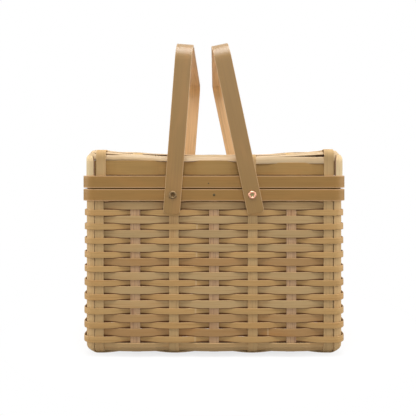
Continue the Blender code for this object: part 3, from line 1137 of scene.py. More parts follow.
@dataclass(frozen=True)
class RowKind:
    """One of the two kinds of woven row.

    tones says, from the rim down, how light and how warm each row is
    beside the others, and knots which of them show a knot, at knot_x.
    """

    name: str
    outside_even: bool
    width: float
    # How wide the painted shade on its edges grows where it is tucked in
    tuck: float
    finish: Finish
    seed: float
    tones: tuple[tuple[float, float], ...]
    knots: tuple[int, ...]
    knot_x: float

    SEED_STEP = 1.37


@dataclass
class BasketBody:
    """Stakes, woven rows, base and rim of the basket.

    swing is how far out a row lies outside a stake, slack how much more it does
    in each row down, and swing_in how far in it lies inside one. A skirt is what
    the inner band reaches below its node.
    """

    weave: Weave
    swing: float = 0.0017
    slack: float = 0.00007
    swing_in: float = 0.0022
    # Painted shade on the lower edge of every row
    row_edge_shade: float = 0.07
    tucked_spread: float = 0.15
    tucked_drop: float = 0.0005
    edge_swing: float = 0.0015
    edge_width: float = 0.0074
    edge_stiff: float = 0.45
    base_swing: float = 0.0019
    base_bend: float = 0.0145
    base_level: float = 0.00297
    bend_step: float = math.radians(11)
    waver: float = 0.00008
    skirt: float = 0.0016

    # How far each front stake strays from its even place, from the left
    DRIFT = (-0.0006, -0.0016, -0.0017, 0.0, 0.0, 0.0, 0.0)
    # How wide each front stake is beside the others
    BREADTH = (0.90, 1.0, 1.0, 1.0, 1.0, 1.0, 0.95)

    KINDS = (
        RowKind("wide", True, 0.00948, 0.70, Finish.WIDE_ROW, 0.5,
                tones=((-0.3, 0.10), (0.5, 0.0), (-0.1, 0.0), (0.1, 0.0), (-0.5, 0.45),
                       (0.4, 0.0), (0.45, -0.05), (0.5, 0.0), (-0.2, 0.35), (-0.5, 0.5)),
                knots=(9,), knot_x=0.0605),
        RowKind("narrow", False, 0.00722, 0.9, Finish.NARROW_ROW, 60.0,
                tones=((0.1, 0.10), (0.0, 0.05), (0.2, 0.12), (0.15, 0.05), (0.25, 0.1),
                       (-0.1, 0.15), (0.0, 0.1), (-0.15, 0.0), (-0.1, 0.15), (0.0, 0.1)),
                knots=(1, 3, 5, 7, 9), knot_x=-0.0137),
    )
    MIDDLE_ROW = 4.5

    # The edge row's strips: start and end on the bend in degrees, how light it is and how wide the painted
    # shade on its edges is.
    # The lower strip faces down and is painted darker, with a dark lower edge, as shade
    EDGE_STRIPS = ((1.5, 23.9, 1.0, 0.0), (24.1, 52.0, 0.3, 0.12))

    def leg_path(self, level: float, top: float) -> list[tuple[float, float]]:
        """Lead a stake from its top, down its wall and round onto the base.

        Args:
            level: Height of the stake's middle on the base.
            top: Height of its top end.

        Returns:
            Distance from the basket's middle, and height, of each point.
        """
        wall, bend = self.weave.wall, self.base_bend
        start = self.base_level + bend
        points = [(-wall, z) for z in spaced(top, start, STRAIGHT_STEP)]
        for turn in spaced(0.0, QUARTER, self.bend_step)[1:]:
            points.append((-wall + bend * (1 - math.cos(turn)), start - (start - level) * math.sin(turn)))
        return points

    def stake_finish(self, index: int) -> Finish:
        """Finish of a stake: every other one is pink."""
        return Finish.STAKE if index % 2 else Finish.PINK_STAKE

    def front_stakes(self, shop: Workshop, holes: Sequence[tuple[float, float]]) -> None:
        """Lay the seven stakes that run from front to back, under the base.

        Args:
            shop: Cuts the stakes.
            holes: X and Z of the rivet holes, which go through the nearest stakes.
        """
        leg = self.leg_path(self.base_level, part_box("front_stake_4")[1].z)
        flat = [(y, self.base_level) for y in between_legs(leg, STRAIGHT_STEP)]
        path = leg + flat + [(-y, z) for y, z in reversed(leg)]
        for index, x, breadth in zip(STAKES, self.weave.fronts, self.BREADTH):
            strand = Strand(stock=Stock(tone=0.15 * (-1) ** index, seed=3.1 + index))
            for y, z in path:
                strand.add(Vector((x, y, z)), Vector((1.0, 0.0, 0.0)), breadth)
            finish = self.stake_finish(index)
            item = shop.cut(f"stake_front_{index + 4}", [strand], self.weave.stake_cut, finish)
            near = [hole for hole in holes if abs(hole[0] - x) < self.weave.stake_width]
            if near:
                item = shop.drill(item, near, Rivets.BORE, self.weave.through)
            shop.deliver(item, "basket", finish, f"front_stake_{index + 4}")

    def stake_level(self, x: float) -> float:
        """Height of a side stake where it crosses the front stakes."""
        return self.base_level + self.weave.rise(x, -self.base_swing)

    def filler_level(self, x: float) -> float:
        """Height of a base filler where it crosses the front stakes."""
        return self.base_level + self.weave.rise(x, self.base_swing)

    def side_stakes(self, shop: Workshop) -> None:
        """Weave the seven stakes that run from side to side through the front ones.

        Args:
            shop: Cuts the stakes.
        """
        leg = self.leg_path(self.stake_level(-self.weave.wall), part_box("side_stake_4")[1].z)
        flat = [(x, self.stake_level(x)) for x in between_legs(leg, WOVEN_STEP)]
        for index in STAKES:
            stock = Stock(tone=0.5 if is_outermost(index) else 0.0, seed=23.7 + index)
            strand = self.weave.side_strand(index, leg, flat, self.base_bend, Vector((0.0, -1.0, 0.0)), stock)
            finish = self.stake_finish(index)
            item = shop.cut(f"stake_side_{index + 4}", [strand], self.weave.stake_cut, finish)
            shop.deliver(item, "basket", finish, f"side_stake_{index + 4}")

    def base_fillers(self, shop: Workshop) -> None:
        """Lay the wide splints that close the base between the side stakes.

        Args:
            shop: Cuts the splints.
        """
        for number in FILLERS:
            node = f"base_filler_{number}"
            stock = Stock(tone=0.1 * (-1) ** number, warmth=0.1, seed=41.3 + number)
            strand, cut = self.weave.flat_splint(node, self.filler_level, -1.0, stock)
            item = shop.cut(f"base_mat_{number}", [strand], cut, Finish.STAKE)
            shop.deliver(item, "basket", Finish.STAKE, node)

    def knot_run(self, x: float, lap_at: int) -> float:
        """Length along a row, from its start on the back wall, to a place on the front wall."""
        return (x + self.weave.inset - self.weave.lap_start(lap_at)) % self.weave.perimeter

    def rows(self, shop: Workshop) -> None:
        """Weave the twenty level rows of the wall, wide and narrow by turns.

        Args:
            shop: Cuts the rows.
        """
        for kind in self.KINDS:
            for number, (tone, warmth) in enumerate(kind.tones):
                node = f"{kind.name}_weaver_{number + 1:02d}"
                low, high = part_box(node)
                lap_at = 2 * (number % 2) + (2 if kind.outside_even else 1)
                knot = self.knot_run(kind.knot_x, lap_at) if number in kind.knots else NO_KNOT
                stock = Stock(tone, warmth, knot, number * kind.SEED_STEP + kind.seed)
                bulge = self.swing + self.slack * (number - self.MIDDLE_ROW)
                place = partial(upright, (low.z + high.z) / 2, 0.0, bulge, self.swing_in)
                row = Row(kind.outside_even, self.tucked_spread, self.tucked_drop, kind.tuck, self.row_edge_shade,
                          lap_at)
                strand = row.strand(self.weave, place, self.weave.weaver_thick, stock)
                cut = Cut(kind.width, self.weave.weaver_thick, waver=self.waver)
                item = shop.cut(f"row_{kind.name}_{number + 1:02d}", [strand], cut, kind.finish)
                shop.deliver(item, "basket", kind.finish, node)

    def on_bend(self, turn: float, share: float, point: Vector, out: Vector) -> Placing:
        """Place a strip on the rounded edge of the base.

        Args:
            turn: How far round the bend it lies, from the wall.
            share: 1 outside a stake and -1 inside it.
            point: Place on the stakes' middle plane.
            out: The way out of the wall.

        Returns:
            Its middle, the way across it and the way it faces.
        """
        centre = point - out * self.base_bend
        centre.z = self.base_level + self.base_bend - self.base_swing * math.sin(turn) * out.x**2
        outward = out * math.cos(turn) - UP * math.sin(turn)
        across = out * math.sin(turn) + UP * math.cos(turn)
        return centre + outward * self.base_bend + out * (share * self.edge_swing), across, outward

    def edge_row(self, shop: Workshop) -> None:
        """Cover the rounded edge of the base with a narrow strip and a wider one below it, which is painted
        darker, with a dark lower edge, as shade.

        Args:
            shop: Cuts the strips.
        """
        strips = []
        for start, end, tone, edge_shade in self.EDGE_STRIPS:
            broad = math.radians(end - start) * self.base_bend / self.edge_width
            row = Row(True, edge_shade=edge_shade, lap_at=4, stiff=self.edge_stiff, broad=broad)
            place = partial(self.on_bend, math.radians((start + end) / 2))
            stock = Stock(tone, warmth=0.1, seed=77.0 + tone)
            strips.append(row.strand(self.weave, place, self.weave.weaver_thick, stock))
        cut = Cut(self.edge_width, self.weave.weaver_thick)
        item = shop.cut("row_base_edge", strips, cut, Finish.WIDE_ROW)
        shop.deliver(item, "basket", Finish.WIDE_ROW, "base_edge_weaver")

    def build(self, shop: Workshop, holes: Sequence[tuple[float, float]]) -> None:
        """Build the whole body.

        Args:
            shop: Cuts the pieces.
            holes: X and Z of the rivet holes.
        """
        self.front_stakes(shop, holes)
        self.side_stakes(shop)
        self.base_fillers(shop)
        self.rows(shop)
        self.edge_row(shop)
        bands = Bands()
        bands.build(shop, self.weave, "rim_outer", "body_outer_band", True, "basket",
                    Stock(seed=5.2), lap_at=5, holes=holes)
        bands.build(shop, self.weave, "rim_inner", "body_inner_band", False, "basket",
                    Stock(tone=0.1, warmth=0.1, seed=6.4), lap_at=0, holes=holes, skirt=self.skirt)


@dataclass(frozen=True)
class Strip:
    """A strip of the lid's shoulder.

    Each stop along the front gives x, how far up the shoulder's quarter
    turn the strip lies there, its share of the full width and how far out it stands.
    """

    tone: float
    lap_at: int
    swing: float
    stops: tuple[tuple[float, float, float, float], ...]

    RISE, WIDTH, REACH = 1, 2, 3

    def column(self, number: int) -> list[tuple[float, float]]:
        """One value of each stop, after its x."""
        return [(stop[0], stop[number]) for stop in self.stops]


@dataclass
class Lid:
    """The lid: arched stakes, rows at its side and shoulder, wide splints and bands.

    foot, shoulder and top are the heights where its stakes start, where they
    bend and where their middle would lie if the lid didn't sag. A hump is how far
    a stake stands out of its bend.
    """

    weave: Weave
    foot: float = 0.2035
    shoulder: float = 0.2325
    bend: float = 0.0120
    top: float = 0.2470
    sag: float = 0.0060
    inner_band_top: float = 0.2140
    leg_step: float = 0.005
    bend_step: float = math.radians(9)
    swing: float = 0.0018
    mat_swing: float = 0.0010
    hump: float = 0.0012
    even_dip: float = 0.0015
    corner_humps: tuple[float, float] = (0.0030, 0.0042)
    corner_drop: float = 0.0032
    # Painted shade on the edges of the outermost side stakes' legs
    corner_tuck: float = 0.22
    shoulder_width: float = 0.0100
    shoulder_curl: float = 0.8
    side_row_rise: float = 0.0012
    # Painted shade on the edges of the side row and of the shoulder strips
    side_edge_shade: float = 0.06
    shoulder_edge_shade: float = 0.07
    stiff: float = 0.6

    # How far each front stake strays from its even place, from the left
    DRIFT = (0.0014, 0.0, -0.0017, 0.0, -0.0018, 0.0, 0.0007)

    # How far the outermost side stakes lie below the others: x, drop
    DROPS = ((0.020, 0.0010), (0.115, 0.0032))

    STRIPS = (
        Strip(0.5, 4, 0.0009, (
            (-0.146, 0.36, 0.95, 0.0003), (-0.140, 0.31, 0.66, 0.0003), (-0.050, 0.34, 0.80, 0.0003),
            (-0.028, 0.38, 1.0, 0.0003), (0.030, 0.37, 1.0, 0.0003), (0.052, 0.15, 0.84, 0.0006),
            (0.140, 0.12, 0.84, 0.0006), (0.146, 0.34, 0.95, 0.0003))),
        Strip(1.4, 2, 0.0, (
            (-0.146, 0.72, 0.50, -0.0002), (-0.140, 0.66, 0.40, -0.0002), (-0.085, 0.62, 0.34, -0.0002),
            (-0.050, 0.52, 0.20, -0.0012), (0.030, 0.52, 0.20, -0.0012), (0.060, 0.56, 0.36, -0.0002),
            (0.140, 0.57, 0.36, -0.0002), (0.146, 0.70, 0.50, -0.0002))),
        Strip(1.2, 3, 0.0, (
            (-0.140, 0.94, 0.44, -0.0004), (-0.050, 0.94, 0.46, 0.0003), (0.030, 0.94, 0.46, 0.0003),
            (0.060, 0.84, 0.40, 0.0), (0.140, 0.80, 0.40, -0.0006))),
    )
    # The side row is narrower on the right of the front: x, share of its height
    SIDE_ROW = ((0.030, 1.06), (0.052, 0.90), (0.140, 0.90), (0.146, 1.06))

    def level(self, x: float) -> float:
        """Height of the front stakes' middle. The lid sags between its sides."""
        share = min(abs(x) / self.weave.stakes[-1], 1.0)
        return self.top - self.sag * (1 - share**2)

    def stake_level(self, x: float) -> float:
        """Height of a side stake over the lid."""
        return self.level(x) + self.weave.rise(x, self.mat_swing)

    def mat_level(self, x: float) -> float:
        """Height of a wide splint over the lid."""
        return self.level(x) + self.weave.rise(x, -self.mat_swing)

    def hump_of(self, index: int) -> float:
        """Say how far a stake stands out of its bend: most at the corners, and the even ones dip.

        Args:
            index: Number of the stake, from -3 to 3.

        Returns:
            Its hump.
        """
        if is_outermost(index):
            return self.corner_humps[index > 0]
        return self.hump if index % 2 else -self.even_dip

    def leg_path(self, level: float, hump: float) -> list[tuple[float, float]]:
        """Lead a lid stake from its foot, up its wall and round onto the top.

        Args:
            level: Height of the stake's middle on the top.
            hump: How far it stands out of its bend.

        Returns:
            Distance from the basket's middle, and height, of each point.
        """
        wall, bend = self.weave.wall, self.bend
        points = [(-wall, z) for z in spaced(self.foot, self.shoulder, self.leg_step)]
        for turn in spaced(0.0, QUARTER, self.bend_step)[1:]:
            rise = hump * math.sin(2 * turn) ** 2
            points.append((-wall + bend - (bend + rise) * math.cos(turn),
                           self.shoulder + (level - self.shoulder + rise) * math.sin(turn)))
        return points

    def front_arches(self) -> list[Strand]:
        """Lead the seven front stakes over the lid, from front to back.

        Returns:
            Their lines, from the left.
        """
        strands = []
        for index, x in zip(STAKES, self.weave.fronts):
            level = self.level(x)
            leg = self.leg_path(level, self.hump_of(index))
            flat = [(y, level) for y in between_legs(leg, STRAIGHT_STEP)]
            strand = Strand(stock=Stock(tone=0.1, seed=90.3 + index))
            for y, z in leg + flat + [(-y, z) for y, z in reversed(leg)]:
                strand.add(Vector((x, y, z)), Vector((-1.0, 0.0, 0.0)))
            strands.append(strand)
        return strands

    def side_arches(self) -> tuple[list[Strand], list[Strand]]:
        """Lead the seven side stakes over the lid, woven through the front ones.

        Returns:
            The lines of the five inner ones, and of the two outermost ones.
        """
        inner, outermost = [], []
        for index in STAKES:
            corner = is_outermost(index)
            level = self.stake_level(-self.weave.wall) - self.corner_drop * corner
            leg = self.leg_path(level, 0.0 if corner else self.hump_of(index))
            flat = [(x, self.stake_level(x) - corner * eased(abs(x), self.DROPS))
                    for x in between_legs(leg, WOVEN_STEP)]
            strand = self.weave.side_strand(index, leg, flat, self.bend, Vector((0.0, 1.0, 0.0)),
                                            Stock(tone=0.3, seed=110.9 + index), self.corner_tuck * corner)
            (outermost if corner else inner).append(strand)
        return inner, outermost

    def arches(self, shop: Workshop) -> None:
        """Cut the lid's stakes. The two outermost side ones are paler.

        Args:
            shop: Cuts the stakes.
        """
        inner, outermost = self.side_arches()
        item = shop.cut("lid_arches", self.front_arches() + inner, self.weave.stake_cut, Finish.STAKE)
        shop.deliver(item, "lid", Finish.STAKE, "lid_frame")
        item = shop.cut("lid_arches_pale", outermost, self.weave.stake_cut, Finish.PALE_STAKE)
        shop.deliver(item, "lid", Finish.PALE_STAKE)

    def mats(self, shop: Workshop) -> None:
        """Lay the wide splints that close the top between the side stakes.

        Args:
            shop: Cuts the splints.
        """
        for number in FILLERS:
            node = f"lid_filler_{number}"
            stock = Stock(tone=0.2 * (-1) ** number, seed=131.7 + number)
            strand, cut = self.weave.flat_splint(node, self.mat_level, 1.0, stock)
            item = shop.cut(f"lid_mat_{number}", [strand], cut, Finish.LID_MAT)
            shop.deliver(item, "lid", Finish.LID_MAT, node)

    def side_row(self, shop: Workshop) -> None:
        """Weave the wide row that stands above the lid's outer band.

        Args:
            shop: Cuts the row.
        """
        low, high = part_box("lid_side_weaver")
        high.z += self.side_row_rise
        place = partial(upright, (low.z + high.z) / 2, 0.0, self.swing, self.swing)
        row = Row(True, edge_shade=self.side_edge_shade, lap_at=2, stiff=self.stiff)
        strand = row.strand(self.weave, place, self.weave.weaver_thick, Stock(warmth=0.05, seed=151.0))
        for at, point in enumerate(strand.points):
            if point.y < 0:
                strand.swell[at] = eased(point.x, self.SIDE_ROW)
                point.z -= (1 - strand.swell[at]) * (high.z - low.z) / 2
        cut = Cut(high.z - low.z, self.weave.weaver_thick, squareness=0.15, sides=24)
        item = shop.cut("lid_row_side", [strand], cut, Finish.LID_ROW)
        shop.deliver(item, "lid", Finish.LID_ROW, "lid_side_weaver")

    def on_shoulder(self, strip: Strip, share: float, point: Vector, out: Vector) -> Placing:
        """Place a strip that lies over the shoulder and follows its bend.

        Args:
            strip: The strip.
            share: 1 outside a stake and -1 inside it.
            point: Place on the stakes' middle plane.
            out: The way out of the wall.

        Returns:
            Its middle, the way across it and the way it faces.
        """
        side = self.stake_level(-self.weave.wall) - self.shoulder
        front = self.level(point.x) - self.shoulder
        height = front + (side - front) * out.x**2
        rises = strip.column(strip.RISE)
        turn = (eased(point.x, rises) if point.y < 0 else rises[0][1]) * QUARTER
        normal = Vector((math.cos(turn) / self.bend, math.sin(turn) / height)).normalized()
        reach = share * strip.swing + eased(point.x, strip.column(strip.REACH))
        middle = point - out * self.bend + out * (self.bend * math.cos(turn) + normal.x * reach)
        middle.z = self.shoulder + height * math.sin(turn) + normal.y * reach
        return middle, UP * normal.x - out * normal.y, out * normal.x + UP * normal.y

    def shoulder_rows(self, shop: Workshop) -> None:
        """Weave the strips that lie over the shoulder.

        Args:
            shop: Cuts the strips.
        """
        strands = []
        for strip in self.STRIPS:
            row = Row(True, edge_shade=self.shoulder_edge_shade, lap_at=strip.lap_at, stiff=self.stiff)
            stock = Stock(tone=strip.tone, seed=161.0 + strip.tone)
            strand = row.strand(self.weave, partial(self.on_shoulder, strip), self.weave.weaver_thick, stock)
            widths = strip.column(strip.WIDTH)
            for at, point in enumerate(strand.points):
                strand.swell[at] = eased(point.x, widths) if point.y < 0 else widths[0][1]
                strand.cup[at] = self.shoulder_curl / (2 * self.bend)
            strands.append(strand)
        cut = Cut(self.shoulder_width, self.weave.weaver_thick)
        item = shop.cut("lid_rows_shoulder", strands, cut, Finish.LID_MAT)
        shop.deliver(item, "lid", Finish.LID_MAT, "lid_shoulder_weaver")

    def build(self, shop: Workshop) -> None:
        """Build the whole lid.

        Args:
            shop: Cuts the pieces.
        """
        self.arches(shop)
        self.mats(shop)
        self.side_row(shop)
        self.shoulder_rows(shop)
        bands = Bands()
        bands.build(shop, self.weave, "lid_rim_outer", "lid_outer_band", True, "lid",
                    Stock(seed=7.7), lap_at=3)
        low, _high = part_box("lid_frame")
        height = self.inner_band_top - low.z
        stock = Stock(tone=0.1, warmth=0.1, seed=8.8)
        strand = bands.strand(self.weave, low.z + height / 2, False, 3, stock)
        item = shop.cut("lid_rim_inner", [strand], bands.cut(height), Finish.RIM)
        shop.deliver(item, "lid", Finish.RIM)


@dataclass
class Bail:
    """One bent bamboo handle, which pivots on its two rivets.

    lean is its angle from upright, reach its height above the pivot, and ease
    the gap between its arms and the band.
    """

    side: str
    lean: float
    pivot: Vector
    span: float
    reach: float
    stock: Stock
    width: float = 0.0200
    thick: float = 0.0028
    ease: float = 0.0005
    bend: float = 0.0230
    tail: float = 0.0224
    tail_round: float = 0.0035
    straight_step: float = 0.008

    def half(self) -> list[tuple[float, float, float]]:
        """Lead the handle from its front tail to the middle of its top.

        Returns:
            Distance from the basket's middle, height above the pivot and share
            of the full width, of each point.
        """
        arm = self.span / 2 + self.ease + self.thick / 2
        top = self.reach - self.thick / 2
        points = []
        for turn in spaced(0.0, QUARTER, math.radians(15)):
            height = -self.tail + self.tail_round * (1 - math.cos(turn))
            points.append((-arm, height, 1 - 2 * self.tail_round * (1 - math.sin(turn)) / self.width))
        points += [(-arm, z, 1.0) for z in spaced(points[-1][1], top - self.bend, self.straight_step)[1:]]
        for turn in spaced(0.0, QUARTER, math.radians(6))[1:]:
            y, z = -arm + self.bend * (1 - math.cos(turn)), top - self.bend * (1 - math.sin(turn))
            points.append((y, z, 1.0))
        return points + [(y, top, 1.0) for y in spaced(points[-1][0], 0.0, self.straight_step)[1:]]

    def build(self, shop: Workshop) -> None:
        """Sweep the handle in its leaning plane and drill it for its rivets.

        Args:
            shop: Cuts the handle.
        """
        lean = Euler((0.0, self.lean, 0.0)).to_matrix()
        half = self.half()
        strand = Strand(stock=self.stock)
        for y, z, share in half + [(-y, z, share) for y, z, share in reversed(half[:-1])]:
            strand.add(self.pivot + lean @ Vector((0.0, y, z)), lean @ Vector((-1.0, 0.0, 0.0)), share)
        cut = Cut(self.width, self.thick, squareness=0.13, sides=28)
        item = shop.cut(f"bail_{self.side}", [strand], cut, Finish.HANDLE)
        item = shop.drill(item, [(self.pivot.x, self.pivot.z)], Rivets.BORE, self.span)
        shop.deliver(item, f"{self.side}_bail", Finish.HANDLE, f"{self.side}_handle")


class RivetTree(PieceTree):
    """Turns a rivet from its outline and sets one at each end of its axis."""

    def __init__(self) -> None:
        """Build the tree."""
        super().__init__("turned_rivets", "Outline",
                         (("Sides", "INT"), ("Front", "VECTOR"), ("Back", "VECTOR")))
        tree, given = self.tree, self.given
        outline = add_node(tree, "GeometryNodeMeshToCurve", {0: given["Outline"]})
        feeds = {"Resolution": given["Sides"], "Radius": 1.0}
        ring = add_node(tree, "GeometryNodeCurvePrimitiveCircle", feeds)
        turned = add_node(tree, "GeometryNodeCurveToMesh", {"Curve": ring, "Profile Curve": outline})
        radius, height = (
            add_node(tree, "GeometryNodeInputNamedAttribute", {"Name": name},
                     data_type="FLOAT").outputs["Attribute"]
            for name in ("spindle", "reach")
        )
        place = add_node(tree, "GeometryNodeInputPosition")
        flat = add_node(tree, "ShaderNodeVectorMath", {0: place, 1: (1.0, 1.0, 0.0)}, operation="MULTIPLY")
        way = add_node(tree, "ShaderNodeVectorMath", {0: flat}, operation="NORMALIZE")
        out = add_node(tree, "ShaderNodeVectorMath", {0: way, 3: radius}, operation="SCALE")
        up = add_node(tree, "ShaderNodeCombineXYZ", {2: height})
        total = add_node(tree, "ShaderNodeVectorMath", {0: out, 1: up}, operation="ADD")
        shaped = add_node(tree, "GeometryNodeSetPosition", {0: turned, "Position": total})
        closed = add_node(tree, "GeometryNodeMergeByDistance", {0: shaped, "Distance": 1e-6})
        smooth = add_node(tree, "GeometryNodeSetShadeSmooth", {0: closed})
        both = add_node(tree, "GeometryNodeJoinGeometry")
        for end, turn in (("Front", QUARTER), ("Back", -QUARTER)):
            feeds = {0: smooth, "Translation": given[end], "Rotation": (turn, 0.0, 0.0)}
            moved = add_node(tree, "GeometryNodeTransform", feeds)
            tree.links.new(moved.outputs[0], both.inputs[0])
        self.end(both)


@dataclass
class Rivets:
    """Tubular rivets: a rolled head with a hollow outside, a clinched flange inside."""

    weave: Weave
    span: float
    play: float = 0.0002
    head_radius: float = 0.0048
    head_thick: float = 0.0015
    head_edge: float = 0.0002
    roll_share: float = 0.9
    hollow_radius: float = 0.0021
    hollow_depth: float = 0.0010
    hollow_flat: float = 0.8
    shank_radius: float = 0.0020
    flange_radius: float = 0.0038
    flange_thick: float = 0.0010
    flange_edge: float = 0.0005
    tube_radius: float = 0.0012
    tube_depth: float = 0.0050
    tube_edge: float = 0.0003
    sides: int = 40

    BORE = 0.0024
    # BRIGHT is the plain ring, SHADED a painted shade under the head and at the flange, DEEP the dull metal
    # down in the hollows
    BRIGHT, SHADED, DEEP = 0.0, 0.3, 1.0

    def outline(self) -> list[tuple[float, float, float]]:
        """Draw the rivet's outline, from the middle of its head to its hollow end.

        Returns:
            Radius, distance from the middle of the basket and how much of the hollow's
            colour it takes, of each point: all of it down in the hollows, and some, as
            painted shade, under the head and at the flange.
        """
        under = self.span / 2 + Bail.ease + Bail.thick + self.play
        head = under + self.head_thick
        bands = Bands()
        flange = self.weave.wall - self.weave.stake_thick / 2 - 2 * bands.gap - bands.thick
        end = flange - self.flange_thick
        floor = head - self.hollow_depth
        points = [(0.0, floor, self.DEEP), (self.hollow_radius * self.hollow_flat, floor, self.DEEP),
                  (self.hollow_radius, floor + self.head_edge, self.DEEP)]
        middle = (self.hollow_radius + self.head_radius) / 2
        half = (self.head_radius - self.hollow_radius) / 2
        for turn in spaced(math.pi, 0.0, math.radians(15)):
            height = head - half * self.roll_share * (1 - math.sin(turn))
            points.append((middle + half * math.cos(turn), height, self.BRIGHT))
        return points + [
            (self.head_radius - self.head_edge, under, self.SHADED),
            (self.shank_radius, under, self.SHADED),
            (self.shank_radius, flange, self.SHADED),
            (self.flange_radius, flange, self.SHADED),
            (self.flange_radius, (flange + end) / 2, self.BRIGHT),
            (self.flange_radius - self.flange_edge, end, self.BRIGHT),
            (self.tube_radius + self.tube_edge, end, self.BRIGHT),
            (self.tube_radius, end + self.tube_edge, self.SHADED),
            (self.tube_radius, end + self.tube_depth, self.DEEP),
            (0.0, end + self.tube_depth, self.DEEP),
        ]

    def build(self, shop: Workshop, tree: RivetTree, side: str, pivot: Vector, finish: Finish) -> None:
        """Turn the front and back rivet of one handle.

        Args:
            shop: Hands the rivets over.
            tree: The rivet tree.
            side: The handle's side.
            pivot: A point on the rivets' axis.
            finish: Their finish.
        """
        points = self.outline()
        name = f"rivets_{side}"
        mesh = bpy.data.meshes.new(name)
        mesh.from_pydata([(at * MILLIMETRE, 0.0, 0.0) for at in range(len(points))],
                         [(at, at + 1) for at in range(len(points) - 1)], [])
        for column, key in enumerate(("spindle", "reach", "hollow")):
            values = [point[column] for point in points]
            mesh.attributes.new(key, "FLOAT", "POINT").data.foreach_set("value", values)
        axis = (pivot.x, 0.0, pivot.z)
        item = tree.run(name, mesh, finish, {"Sides": self.sides, "Front": axis, "Back": axis})
        shop.deliver(item, "basket", finish, f"{side}_front_rivet", f"{side}_back_rivet")


class TackTree(PieceTree):
    """Drives a small domed tack in at each point."""

    def __init__(self) -> None:
        """Build the tree."""
        super().__init__("band_tacks", "Places",
                         (("Radius", "FLOAT"), ("Dome", "FLOAT"), ("Wear", "FLOAT"), ("Seed", "INT")))
        tree, given = self.tree, self.given
        ball = add_node(tree, "GeometryNodeMeshUVSphere", {"Segments": 20, "Rings": 10, "Radius": 1.0})
        feeds = {0: given["Radius"], 1: given["Radius"], 2: given["Dome"]}
        size = add_node(tree, "ShaderNodeCombineXYZ", feeds)
        dome = add_node(tree, "GeometryNodeTransform", {0: ball, "Scale": size})
        smooth = add_node(tree, "GeometryNodeSetShadeSmooth", {0: dome})
        out = add_node(tree, "GeometryNodeInputNamedAttribute", {"Name": "out"},
                       data_type="FLOAT_VECTOR").outputs["Attribute"]
        turn = add_node(tree, "FunctionNodeAlignRotationToVector", {"Vector": out}, axis="Z")
        least = add_node(tree, "ShaderNodeMath", {0: 1.0, 1: given["Wear"]}, operation="SUBTRACT")
        feeds = {2: least, "Seed": given["Seed"]}
        scale = add_node(tree, "FunctionNodeRandomValue", feeds, data_type="FLOAT").outputs[1]
        points = add_node(tree, "GeometryNodeMeshToPoints", {0: given["Places"]})
        feeds = {"Points": points, "Instance": smooth, "Rotation": turn, "Scale": scale}
        self.end(add_node(tree, "GeometryNodeInstanceOnPoints", feeds))


@dataclass
class Tacks:
    """The small tacks that pin each outer band to the stake in the middle of a wall."""

    weave: Weave
    dome: float = 0.0005
    wear: float = 0.12
    seed: int = 3

    def build(self, shop: Workshop, tree: TackTree, name: str, node: str, body: str, strays: Sequence[float],
              radius: float, drop: float) -> None:
        """Drive one tack into each side of a band.

        Args:
            shop: Hands the tacks over.
            tree: The tack tree.
            name: The piece's name.
            node: CAD node of the band.
            body: The body they ride on.
            strays: How far each is off the middle of its wall, from the front round to the left.
            radius: Radius of their heads.
            drop: How far below the band's middle they sit.
        """
        low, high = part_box(node)
        bands = Bands()
        face = self.weave.stake_thick / 2 + bands.gap + bands.thick
        places, ways = [], []
        for side, stray in enumerate(strays):
            point, out = self.weave.at(side * self.weave.side_length + self.weave.inset + stray)
            point = point + out * face
            point.z = (low.z + high.z) / 2 - drop
            places.append(point)
            ways += out[:]
        mesh = bpy.data.meshes.new(name)
        mesh.from_pydata(places, [], [])
        mesh.attributes.new("out", "FLOAT_VECTOR", "POINT").data.foreach_set("vector", ways)
        sizes = {"Radius": radius, "Dome": self.dome, "Wear": self.wear, "Seed": self.seed}
        shop.deliver(tree.run(name, mesh, Finish.TACK, sizes), body, Finish.TACK)


@dataclass(frozen=True)
class Lamp:
    """A square area lamp that points at the middle of the basket."""

    name: str
    place: tuple[float, float, float]
    size: float
    power: float

    TARGET = Vector((0.0, 0.0, 0.15))

    def hang(self) -> None:
        """Hang the lamp in its place."""
        data = bpy.data.lights.new(self.name, "AREA")
        data.size = self.size
        data.energy = self.power
        item = bpy.data.objects.new(self.name, data)
        item.location = self.place
        item.rotation_euler = (self.TARGET - Vector(self.place)).to_track_quat("-Z", "Y").to_euler()
        bpy.context.scene.collection.objects.link(item)


